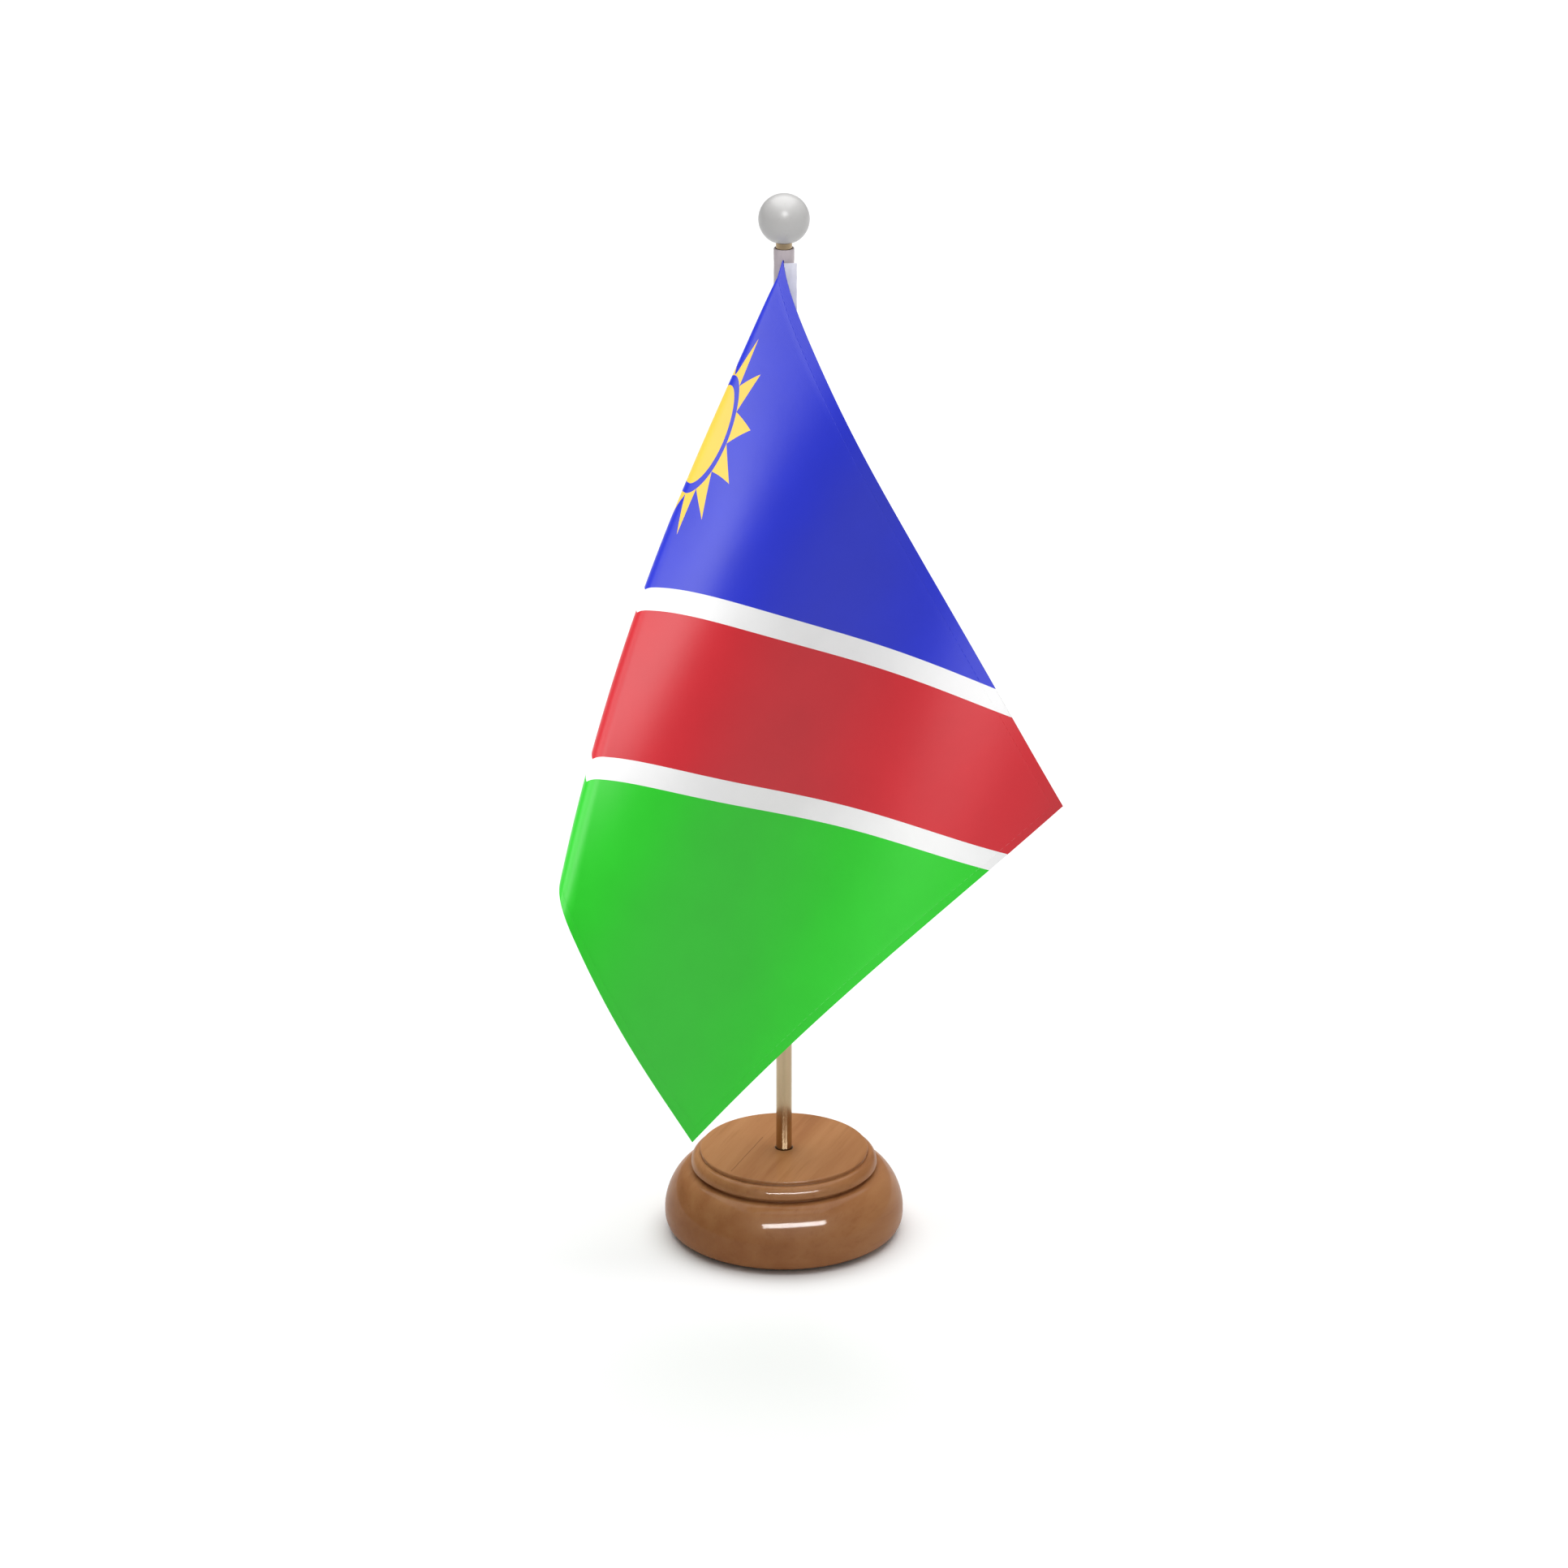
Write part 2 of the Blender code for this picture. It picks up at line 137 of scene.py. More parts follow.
# Wood grain, the painted shade down the side of the base, and the hairline check in the top face
GRAIN_TURN_DEG = 21.0
GRAIN_DIP = 0.06  # radians that the grain tips out of level
GRAIN_STRETCH = 0.06  # scale along the grain, as a share of that across it
STREAK_SHARE = 0.4
SIDE_PAINTED_SHADE = 0.48  # how much darker the side is painted than the top face: painted shade for the side catching less light
# Heights at which the side's painted shade begins and where it is at its darkest
SIDE_SHADE_BEGINS = 26.0 * MM
SIDE_SHADE_FULL = 10.0 * MM
CRACK_SIDE = -8.4 * MM
CRACK_START = -24.8 * MM
CRACK_END = 3.1 * MM
CRACK_WIDTH = 0.16 * MM
CRACK_WAVER = 0.5 * MM
CRACK_SHOWS = 0.6

# Felt
FELT_EDGE = 0.35 * MM
FELT_WOBBLE = 0.12 * MM

# Pole, studs, inserts and ball
POLE_BORE_RADIUS = 2.0 * MM
POLE_END_BEVEL = 0.25 * MM
THREAD_PITCH = 0.7 * MM
THREAD_DEPTH = 0.32 * MM
THREAD_STEPS = 8  # rows of the mesh to one pitch
THREAD_FORM_POWER = 0.8  # below 1 sharpens the crests
STUD_END_TAPER = 0.35 * MM
INSERT_BANDS = 3  # grooves between the knurled rings
INSERT_EDGE = 0.1 * MM
INSERT_GROOVE_DEPTH = 0.35 * MM
INSERT_GROOVE_SLOPE = 0.15  # of a ring's height
KNURL_TEETH = 30
KNURL_DEPTH = 0.09 * MM
KNURL_REACH = 0.2 * MM
BALL_FLAT_RADIUS = 4.0 * MM
BALL_BORE_RADIUS = 3.3 * MM
BALL_BORE_DEPTH = 8.6 * MM
BALL_EDGE_BEVEL = 0.25 * MM
BALL_EDGE_TURN_DEG = 3.0  # how far short of the flat the ball's curve stops

# Sleeve and header tape
SLEEVE_POLE_GAP = 0.12 * MM
SLEEVE_CREASE = 0.07 * MM
SLEEVE_HEM_DEPTH = 0.09 * MM
SLEEVE_HEM_AT_MM = 2.2
SLEEVE_HEM_REACH_MM = 0.35
HEADER_FULLNESS = 0.5  # the tape's thickness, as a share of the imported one's
HEADER_LONG_RIPPLE = 0.10 * MM
HEADER_SHORT_RIPPLE = 0.06 * MM
HEADER_EDGE_RIPPLE = 0.05 * MM

# Flag cloth: its cut and how it hangs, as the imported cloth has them, and its hems
FLAG_FLY = 225.0 * MM
FLAG_HOIST = 150.0 * MM
FLY_RATIO = FLAG_FLY / FLAG_HOIST
CAD_CLOTH_THICKNESS = 0.8 * MM
HEADER_CLOTH_GAP = 0.3 * MM
HEM_WIDTH = 3.4 * MM
HEM_EDGE = 0.15 * MM
CLOTH_THICKNESS = 0.55 * MM
PLAIN_SHARE = 0.96  # thickness of the cloth inside its hems, as a share of the hems'
HOIST_TOP_DROP = 2.7 * MM
HOIST_OFFSET = -0.2 * MM
FLY_TOP = np.array((85.4, -30.3, -163.8)) * MM
FLY_FOOT = np.array((-28.4, -50.3, -271.4)) * MM
FOLD_FOOT = np.array((-69.3, -54.3, -184.8)) * MM
FOLD_SHARE = 0.62
TOP_EDGE_BOW = np.array((-4.4, 0.0, -2.2)) * MM
TOP_BOW_LEAN = 1.2  # how much of that bow moves from the edge's far half to its near half
TOP_BOW_BALANCE = 1.65
TOP_CORNER_TUCK = np.array((-1.2, 0.0, 0.0)) * MM
TOP_TUCK_REACH = 0.08
FLY_EDGE_BOW = np.array((-1.0, 0.0, 1.1)) * MM
FOOT_EDGE_BOW = np.array((-1.5, 0.0, -0.7)) * MM
FOLD_BOW = np.array((-8.0, 0.0, -2.6)) * MM
FOLD_EASE = 0.35  # share of the bow that the top of the fold lacks
FOLD_EASE_REACH = 0.3
TOP_EDGE_BELLY = 12.0 * MM
WAVE_HEIGHT = 8.0 * MM
WAVE_LENGTH = 112.0 * MM
WAVE_CREST = 20.0 * MM
WAVE_GROWS_OVER = 90.0 * MM
BACK_BULGE = 0.27
FOLD_ROUND_TOP = 3.0 * MM
FOLD_ROUND_FOOT = 10.5 * MM
LEAST_REACH = 0.001 * MM
BACK_COLUMNS = 44
FOLD_COLUMNS = 26
FRONT_COLUMNS = 110
CLOTH_ROWS = 130
LEAST_ROW_GAP = 0.3  # of an even step, between a row and the pair at a hem

# Sewing thread and weave
STITCH_PITCH = 2.3 * MM
STITCH_INSET = 2.9 * MM
THREAD_RADIUS = 0.13 * MM
WEAVE_PER_MM = 3.0

# How the print lies on the hung cloth, in hoist heights and shares of the fold. The bands drift
# square to themselves: at the fold, with a quick ease beside it, and steadily farther from it.
# Each part of the drift also grows down the fold.
BAND_MIDDLE = 0.6
BAND_SHIFT = -0.0336
BAND_SHIFT_GROWS = -0.2615
BAND_EASE = 0.17
BAND_EASED = 0.0977
BAND_EASED_GROWS = -0.0070
BAND_STRETCH = -0.0480
BAND_STRETCH_GROWS = 0.2486
BAND_SETTLES = 0.3  # how far behind the fold the drift has died away
SUN_ALONG = 0.2614
SUN_AHEAD = 0.012
SUN_EDGE_WIDTH = 0.319
SUN_WIDENS = 0.447
SUN_SLIDE = 3.2
SUN_LENGTHEN = 1.072
SUN_NEAR = 0.12  # how far in front of the fold the slide along it goes on growing

# Printed design, in hoist heights. Bands are measured square to the diagonal from the top corner.
BAND_EDGES = (0.665, 0.707, 0.957, 0.999)
SUN_DISC = 0.109
SUN_RAY_FOOT = 0.131
SUN_RAY_TIP = 0.225
SUN_RAYS = 12

# Colours, in linear light. Tones are (position, colour) pairs.
BLUE = (0.006, 0.018, 0.500)
RED = (0.520, 0.007, 0.016)
GREEN = (0.007, 0.510, 0.006)
WHITE = (0.76, 0.76, 0.76)
YELLOW = (0.76, 0.50, 0.05)
BLACK = (0.0, 0.0, 0.0)
WOOD_TONES = (
    (0.30, (0.260, 0.098, 0.032)),
    (0.44, (0.360, 0.152, 0.055)),
    (0.56, (0.425, 0.194, 0.076)),
    (0.72, (0.490, 0.240, 0.100)),
)
# Painted shade: the darker brown that the side of the base is mixed towards
WOOD_SIDE_SHADE = (0.20, 0.062, 0.015)
WOOD_PORES = (0.2, 0.07, 0.02)
CRACK_DARK = (0.10, 0.04, 0.015)
BARE_WOOD_TONES = ((0.3, (0.24, 0.12, 0.055)), (0.7, (0.46, 0.27, 0.14)))
FELT_TONES = ((0.25, (0.008, 0.022, 0.014)), (0.75, (0.035, 0.075, 0.05)))
FELT_PATCH = (0.02, 0.035, 0.03)
CHAMPAGNE = (0.45, 0.345, 0.215)
CHAMPAGNE_SMUDGE = (0.38, 0.28, 0.17)
STEEL = (0.62, 0.62, 0.6)
BRASS = (0.8, 0.58, 0.26)
BALL_WHITE = (0.405, 0.40, 0.395)
BALL_SPECK = (0.36, 0.355, 0.345)
SLEEVE_WHITE = (0.49, 0.43, 0.455)
HEADER_WHITE = (0.74, 0.74, 0.82)
FLOOR_DIM = (0.86, 0.86, 0.86)
FLOOR_BRIGHT = (0.88, 0.88, 0.88)


def clear_scene():
    for obj in list(bpy.data.objects):
        bpy.data.objects.remove(obj, do_unlink=True)


# ---------------------------------------------------------------- node helpers


class Nodes:
    """Adds nodes to a material and joins them, so that each material reads as a short list."""

    def __init__(self, name):
        self.material = bpy.data.materials.new(name)
        self.material.use_nodes = True
        self.tree = self.material.node_tree
        self.shader = self.tree.nodes["Principled BSDF"]

    def add(self, kind, inputs=None, **settings):
        node = self.tree.nodes.new(kind)
        for key, value in settings.items():
            setattr(node, key, value)
        for key, value in (inputs or {}).items():
            self.feed(node.inputs[key], value)
        return node

    def feed(self, socket, value):
        if isinstance(value, bpy.types.NodeSocket):
            self.tree.links.new(value, socket)
        else:
            socket.default_value = value

    def set(self, **values):
        """Sets the shader's sockets. An underscore stands for a space in a socket's name."""
        for key, value in values.items():
            self.feed(self.shader.inputs[key.replace("_", " ")], value)

    def math(self, operation, first, second=0.0):
        node = self.add("ShaderNodeMath", operation=operation)
        self.feed(node.inputs[0], first)
        self.feed(node.inputs[1], second)
        return node.outputs[0]

    def place(self):
        return self.add("ShaderNodeTexCoord").outputs["Object"]

    def layer(self, name):
        return self.add("ShaderNodeUVMap", uv_map=name).outputs[0]

    def split(self, vector):
        return self.add("ShaderNodeSeparateXYZ", {"Vector": vector}).outputs

    def mapped(self, vector, scale=(1, 1, 1), rotation=(0, 0, 0)):
        return self.add("ShaderNodeMapping", {
            "Vector": vector, "Scale": scale, "Rotation": rotation}).outputs[0]

    def noise(self, vector, scale, detail=4.0, roughness=0.5, distortion=0.0):
        return self.add("ShaderNodeTexNoise", {
            "Vector": vector, "Scale": scale, "Detail": detail, "Roughness": roughness,
            "Distortion": distortion}).outputs["Fac"]

    def ramp(self, factor, stops, interpolation="LINEAR"):
        """Colours along a factor. Stops hold (position, colour) pairs."""
        node = self.add("ShaderNodeValToRGB", {"Fac": factor})
        node.color_ramp.interpolation = interpolation
        elements = node.color_ramp.elements
        while len(elements) < len(stops):
            elements.new(1.0)
        for element, (position, colour) in zip(elements, stops):
            element.position = position
            element.color = (*colour, 1.0)
        return node.outputs["Color"]

    def range(self, value, low, high, to_low=0.0, to_high=1.0):
        return self.add("ShaderNodeMapRange", {
            "Value": value, "From Min": low, "From Max": high,
            "To Min": to_low, "To Max": to_high}).outputs[0]

    def mix(self, factor, first, second):
        node = self.add("ShaderNodeMix", data_type="RGBA")
        for index, value in ((0, factor), (6, first), (7, second)):
            if isinstance(value, tuple):
                value = (*value, 1.0)
            self.feed(node.inputs[index], value)
        return node.outputs[2]

    def bump(self, height, strength, distance, normal=None):
        inputs = {"Height": height, "Strength": strength, "Distance": distance}
        if normal is not None:
            inputs["Normal"] = normal
        return self.add("ShaderNodeBump", inputs).outputs[0]


# ---------------------------------------------------------------- materials


def wood_crack(n, place):
    """How strongly the hairline check shows. It lies in the top face and runs with the grain."""
    parts = n.split(place)
    waver = n.math("MULTIPLY", n.math("SUBTRACT", n.noise(place, 260.0), 0.5), CRACK_WAVER)
    straight = n.math("SUBTRACT", parts["X"], CRACK_SIDE)
    off_line = n.math("ABSOLUTE", n.math("ADD", straight, waver))
    thin = n.range(off_line, CRACK_WIDTH / 2, CRACK_WIDTH, 1.0, 0.0)
    begun = n.math("GREATER_THAN", parts["Y"], CRACK_START)
    ended = n.math("LESS_THAN", parts["Y"], CRACK_END)
    shown = n.math("MULTIPLY", ended, CRACK_SHOWS)
    return n.math("MULTIPLY", n.math("MULTIPLY", thin, begun), shown)


def varnished_wood():
    """Reddish-brown hardwood under a deep gloss varnish. The grain runs across the base, a little
    askew."""
    n = Nodes("varnished_wood")
    askew = n.mapped(n.place(), rotation=(GRAIN_DIP, 0.0, math.radians(GRAIN_TURN_DEG)))
    along = n.mapped(askew, scale=(1.0, GRAIN_STRETCH, 1.0))
    streak = n.noise(along, 170.0, detail=5.0, roughness=0.55, distortion=0.2)
    broad = n.noise(along, 48.0, detail=2.0, roughness=0.5, distortion=0.3)
    fibre = n.noise(n.mapped(along, scale=(1.0, 0.35, 1.0)), 700.0, detail=3.0)
    streaks = n.math("MULTIPLY", streak, STREAK_SHARE)
    grain = n.math("ADD", streaks, n.math("MULTIPLY", broad, 1 - STREAK_SHARE))
    # Painted shade: below the top face the wood is mixed towards a darker brown, darkest low on the
    # side, for the side catching less light than the top
    height = n.split(n.place())["Z"]
    side = n.range(height, SIDE_SHADE_BEGINS, SIDE_SHADE_FULL, 0.0, SIDE_PAINTED_SHADE)
    side_shaded = n.mix(side, n.ramp(grain, WOOD_TONES), WOOD_SIDE_SHADE)
    pored = n.mix(n.range(fibre, 0.55, 0.8, 0.0, 0.3), side_shaded, WOOD_PORES)
    colour = n.mix(wood_crack(n, askew), pored, CRACK_DARK)
    n.set(Base_Color=colour, Roughness=0.5, Specular_IOR_Level=0.04)
    n.set(Coat_Weight=0.35, Coat_Roughness=0.075, Coat_IOR=1.34)
    n.set(Normal=n.bump(fibre, 0.06, 0.05 * MM))
    return n.material


def bare_wood():
    """The unvarnished underside and bores."""
    n = Nodes("bare_wood")
    turn = (0.0, 0.0, math.radians(GRAIN_TURN_DEG))
    along = n.mapped(n.place(), rotation=turn, scale=(1.0, 0.1, 1.0))
    grain = n.noise(along, 260.0, detail=5.0, distortion=0.8)
    n.set(Base_Color=n.ramp(grain, BARE_WOOD_TONES))
    n.set(Roughness=0.75, Normal=n.bump(grain, 0.3, 0.1 * MM))
    return n.material


def dark_felt():
    """Fluffy dark green felt, a little patchy."""
    n = Nodes("dark_felt")
    fluff = n.noise(n.place(), 1400.0, detail=6.0, roughness=0.7)
    patch = n.noise(n.place(), 90.0, detail=3.0)
    shade = n.ramp(fluff, FELT_TONES)
    n.set(Base_Color=n.mix(n.range(patch, 0.3, 0.7, 0.0, 0.3), shade, FELT_PATCH))
    n.set(Roughness=1.0, Sheen_Weight=0.4, Sheen_Roughness=0.5)
    n.set(Normal=n.bump(fluff, 0.9, 0.25 * MM))
    return n.material


def champagne_metal():
    """Polished champagne plating with faint drawing lines along the tube."""
    n = Nodes("champagne_metal")
    lines = n.noise(n.mapped(n.place(), scale=(1.0, 1.0, 0.01)), 2600.0, detail=2.0)
    smudge = n.noise(n.mapped(n.place(), scale=(1.0, 1.0, 0.3)), 160.0, detail=4.0)
    n.set(Base_Color=n.mix(n.range(smudge, 0.35, 0.75), CHAMPAGNE, CHAMPAGNE_SMUDGE))
    n.set(Metallic=1.0, Roughness=n.range(smudge, 0.3, 0.8, 0.13, 0.24))
    n.set(Normal=n.bump(lines, 0.05, 0.02 * MM))
    return n.material


def turned_metal(name, colour, roughness):
    """Bare turned metal with fine rings left by the tool."""
    n = Nodes(name)
    rings = n.noise(n.mapped(n.place(), scale=(0.05, 0.05, 1.0)), 3800.0, detail=2.0)
    stain = n.noise(n.place(), 420.0, detail=4.0)
    darker = tuple(0.7 * c for c in colour)
    n.set(Base_Color=n.mix(n.range(stain, 0.4, 0.75), colour, darker))
    n.set(Metallic=1.0, Roughness=n.range(rings, 0.3, 0.7, roughness, roughness + 0.18))
    n.set(Normal=n.bump(rings, 0.2, 0.03 * MM))
    return n.material


def white_plastic():
    """Moulded white plastic, softly glossy, with the faint orange-peel of a moulding."""
    n = Nodes("white_plastic")
    peel = n.noise(n.place(), 260.0, detail=2.0)
    speck = n.noise(n.place(), 900.0, detail=4.0)
    n.set(Base_Color=n.mix(n.range(speck, 0.6, 0.85), BALL_WHITE, BALL_SPECK))
    n.set(Roughness=0.36, Coat_Weight=0.3, Coat_Roughness=0.28, Subsurface_Weight=0.08)
    n.set(Subsurface_Radius=(2.0 * MM, 2.0 * MM, 1.8 * MM), Subsurface_Scale=0.5)
    n.set(Normal=n.bump(peel, 0.06, 0.05 * MM))
    return n.material


def weave(n, across, along):
    """Height of a satin weave: long floats along one way, tucked under at staggered places."""
    per_metre = WEAVE_PER_MM / MM
    warp = n.math("SINE", n.math("MULTIPLY", across, 2 * math.pi * per_metre))
    stagger = n.math("MULTIPLY", across, per_metre * 0.6)
    shifted = n.math("ADD", n.math("MULTIPLY", along, per_metre / 5), stagger)
    tuck = n.math("SINE", n.math("MULTIPLY", shifted, 2 * math.pi))
    return n.math("ADD", n.math("MULTIPLY", warp, 0.6), n.math("MULTIPLY", tuck, 0.4))


def white_satin(name, colour):
    """White polyester satin for the sleeve and the header tape."""
    n = Nodes(name)
    parts = n.split(n.place())
    threads = weave(n, parts["Z"], parts["X"])
    crease = n.noise(n.mapped(n.place(), scale=(1.0, 1.0, 0.25)), 420.0, detail=4.0)
    # Painted shade: the satin is coloured darker in the hollows of the crease pattern that also
    # bumps it
    darker = tuple(0.86 * c for c in colour)
    n.set(Base_Color=n.mix(n.range(crease, 0.35, 0.7), darker, colour))
    n.set(Roughness=0.48, Sheen_Weight=0.25, Sheen_Roughness=0.35)
    fine = n.bump(threads, 0.15, 0.03 * MM)
    n.set(Normal=n.bump(crease, 0.35, 0.25 * MM, fine))
    return n.material


def printed_bands(n, u, v):
    """The bands' colour at distances u from the hoist and v from the top edge."""
    slant = math.hypot(FLY_RATIO, 1.0)
    across = n.math("DIVIDE", n.math("ADD", u, n.math("MULTIPLY", v, FLY_RATIO)), slant)
    full = 2 * FLY_RATIO / slant
    stops = [(0.0, BLUE)]
    stops += [(edge / full, colour) for edge, colour in zip(BAND_EDGES, (WHITE, RED, WHITE, GREEN))]
    return n.ramp(n.math("DIVIDE", across, full), stops, "CONSTANT")


def printed_sun(n, east, south):
    """Whether a point is on the sun's disc or on one of its rays, from its distances east and south
    of the sun's centre."""
    squares = n.math("ADD", n.math("MULTIPLY", east, east), n.math("MULTIPLY", south, south))
    radius = n.math("SQRT", squares)
    disc = n.math("LESS_THAN", radius, SUN_DISC)
    step = 2 * math.pi / SUN_RAYS
    bearing = n.math("ADD", n.math("ARCTAN2", south, east), 4 * math.pi + step / 2)
    off_axis = n.math("ABSOLUTE", n.math("SUBTRACT", n.math("MODULO", bearing, step), step / 2))
    # A ray's straight side runs from its tip to the foot circle, half a step away from its axis
    side_y = n.math("MULTIPLY", radius, n.math("SINE", off_axis))
    side_x = n.math("MULTIPLY", radius, n.math("COSINE", off_axis))
    foot_x, foot_y = SUN_RAY_FOOT * math.cos(step / 2), SUN_RAY_FOOT * math.sin(step / 2)
    in_ray = n.math("LESS_THAN", side_y, n.range(side_x, foot_x, SUN_RAY_TIP, foot_y, 0.0))
    outside_ring = n.math("GREATER_THAN", radius, SUN_RAY_FOOT)
    return n.math("MAXIMUM", disc, n.math("MULTIPLY", in_ray, outside_ring))


def stitches(n, u, v):
    """Height of the run of stitches along the hems. u and v are on the cut, in hoist heights."""
    foot = n.math("SUBTRACT", 1.0, v)
    fly = n.math("SUBTRACT", FLY_RATIO, u)
    edge = n.math("MINIMUM", n.math("MINIMUM", v, foot), fly)
    off_line = n.math("ABSOLUTE", n.math("SUBTRACT", edge, STITCH_INSET / FLAG_HOIST))
    line = n.range(off_line, 0.0, THREAD_RADIUS / FLAG_HOIST, 1.0, 0.0)
    along = n.math("MULTIPLY", n.math("ADD", u, v), 2 * math.pi * FLAG_HOIST / STITCH_PITCH)
    dash = n.range(n.math("SINE", along), -0.5, -0.2)
    return n.math("MULTIPLY", line, dash)


def printed_satin():
    """Printed polyester satin, woven, with a soft sheen."""
    n = Nodes("printed_satin")
    on_print = n.split(n.layer("print"))
    on_sun = n.split(n.layer("sun"))
    cut = n.layer("cut")
    on_cut = n.split(cut)
    bands = printed_bands(n, on_print["X"], on_print["Y"])
    colour = n.mix(printed_sun(n, on_sun["X"], on_sun["Y"]), bands, YELLOW)
    blotch = n.noise(cut, 9.0, detail=4.0)
    uneven = n.mix(n.range(blotch, 0.3, 0.75, 0.02, 0.08), colour, BLACK)
    n.set(Base_Color=uneven, Roughness=0.42, Specular_IOR_Level=0.5)
    n.set(Sheen_Weight=0.06, Sheen_Roughness=0.4)
    down = n.math("MULTIPLY", on_cut["Y"], FLAG_HOIST)
    threads = weave(n, down, n.math("MULTIPLY", on_cut["X"], FLAG_HOIST))
    crumple = n.noise(cut, 14.0, detail=5.0, roughness=0.55)
    fine = n.bump(threads, 0.12, 0.03 * MM)
    sewn = n.bump(stitches(n, on_cut["X"], on_cut["Y"]), 0.5, 0.12 * MM, fine)
    n.set(Normal=n.bump(crumple, 0.1, 0.6 * MM, sewn))
    return n.material


def pale_floor():
    n = Nodes("pale_floor")
    cloud = n.noise(n.place(), 0.8, detail=2.0)
    n.set(Base_Color=n.mix(cloud, FLOOR_DIM, FLOOR_BRIGHT), Roughness=0.85)
    return n.material


# ---------------------------------------------------------------- mesh helpers


def add_object(name, mesh, material):
    mesh.materials.append(material)
    obj = bpy.data.objects.new(name, mesh)
    bpy.context.scene.collection.objects.link(obj)
    return obj


def smooth(obj, angle_deg):
    obj.data.shade_smooth()
    obj.data.set_sharp_from_angle(angle=math.radians(angle_deg))


def weld(obj):
    """Merges points that coincide, such as those on a turned piece's axis."""
    work = bmesh.new()
    work.from_mesh(obj.data)
    bmesh.ops.remove_doubles(work, verts=work.verts, dist=WELD_DISTANCE)
    bmesh.ops.dissolve_degenerate(work, edges=work.edges, dist=WELD_DISTANCE / 2)
    work.to_mesh(obj.data)
    work.free()


def turned(name, outline, facets, material, closed=False, shape=None):
    """A piece turned about the pole's axis. The outline runs down the outer side, top to bottom;
    a closed one goes on up the wall of its bore. shape(radius, height, angle) may move points."""
    outline = np.array(outline, float)
    rows = len(outline)
    angles = 2 * math.pi * np.arange(facets) / facets
    radius = np.repeat(outline[:, :1], facets, axis=1)
    height = np.repeat(outline[:, 1:], facets, axis=1)
    angle = np.repeat(angles[None, :], rows, axis=0)
    if shape:
        radius, height = shape(radius, height, angle)
    points = np.stack((radius * np.cos(angle), radius * np.sin(angle), height), axis=-1)
    faces = []
    for row in range(rows if closed else rows - 1):
        below = (row + 1) % rows
        for side in range(facets):
            beside = (side + 1) % facets
            faces.append((
                row * facets + side, below * facets + side,
                below * facets + beside, row * facets + beside))
    mesh = bpy.data.meshes.new(name)
    mesh.from_pydata(points.reshape(-1, 3).tolist(), [], faces)
    obj = add_object(name, mesh, material)
    weld(obj)
    smooth(obj, SMOOTH_BELOW_DEG)
    return obj


def arc(centre_radius, centre_height, radius, start, end, steps):
    """Points round part of a circle, from one angle to another, in degrees up from level."""
    points = []
    for i in range(steps + 1):
        angle = math.radians(start + (end - start) * i / steps)
        out, up = radius * math.cos(angle), radius * math.sin(angle)
        points.append((centre_radius + out, centre_height + up))
    return points


def superellipse_quarter(reach, rise, power, steps):
    """Points from the top of a superellipse's quarter down to its side."""
    points = []
    for i in range(steps + 1):
        angle = math.pi / 2 * (1 - i / steps)
        out, up = math.cos(angle) ** (2 / power), math.sin(angle) ** (2 / power)
        points.append((reach * out, rise * up))
    return points


def sheet_object(name, points, material, layers=None):
    """A grid of points as a mesh. Layers holds {UV map name: grid of (u, v)}."""
    rows, columns = points.shape[:2]
    faces = []
    for row in range(rows - 1):
        for col in range(columns - 1):
            corner = row * columns + col
            faces.append((corner, corner + columns, corner + columns + 1, corner + 1))
    mesh = bpy.data.meshes.new(name)
    mesh.from_pydata(points.reshape(-1, 3).tolist(), [], faces)
    loops = np.zeros(len(mesh.loops), np.int32)
    mesh.loops.foreach_get("vertex_index", loops)
    for layer, values in (layers or {}).items():
        uv = mesh.uv_layers.new(name=layer)
        uv.data.foreach_set("uv", values.reshape(-1, 2)[loops].astype(np.float32).ravel())
    return add_object(name, mesh, material)


def solidify(obj, thickness, group=None, least=0.0):
    """Gives a sheet its thickness. Outside the vertex group it has only the least share of it."""
    shell = obj.modifiers.new("thickness", "SOLIDIFY")
    shell.thickness = thickness
    shell.offset = 0.0
    if group:
        shell.vertex_group = group
        shell.thickness_vertex_group = least
    graph = bpy.context.evaluated_depsgraph_get()
    made = bpy.data.meshes.new_from_object(
        obj.evaluated_get(graph), preserve_all_data_layers=True, depsgraph=graph)
    obj.modifiers.clear()
    obj.data = made
    smooth(obj, SHEET_SMOOTH_BELOW_DEG)


# ---------------------------------------------------------------- hard pieces


def ring_outline(top):
    """The turned step between the flat top and the rounded body: a nick under the top disc, a
    rounded bead and a groove."""
    inner = TOP_FACE_RADIUS + TOP_FACE_EDGE
    ledge = top - STEP_DROP
    depth = BASE_CROWN_DROP - STEP_DROP - TOP_FACE_EDGE - GROOVE_HEIGHT
    foot = ledge - depth
    groove = STEP_RADIUS - GROOVE_DEPTH
    bead = superellipse_quarter(STEP_RADIUS - inner, depth, BEAD_CURVE_POWER, BEAD_STEPS)
    outline = arc(TOP_FACE_RADIUS, top - TOP_FACE_EDGE, TOP_FACE_EDGE, 90, 0, EDGE_STEPS)
    outline += [
        (inner - STEP_UNDERCUT, ledge + STEP_UNDERCUT),
        (inner - STEP_NICK_OUT, ledge - STEP_NICK_DROP),
    ]
    outline += [(inner + out, foot + up) for out, up in bead]
    outline += [
        (STEP_RADIUS - BEAD_TURN_IN, foot - BEAD_TURN_DROP),
        (groove, foot - GROOVE_ROOF_DROP),
        (groove, foot - GROOVE_HEIGHT - GROOVE_SILL_DROP),
    ]
    return outline


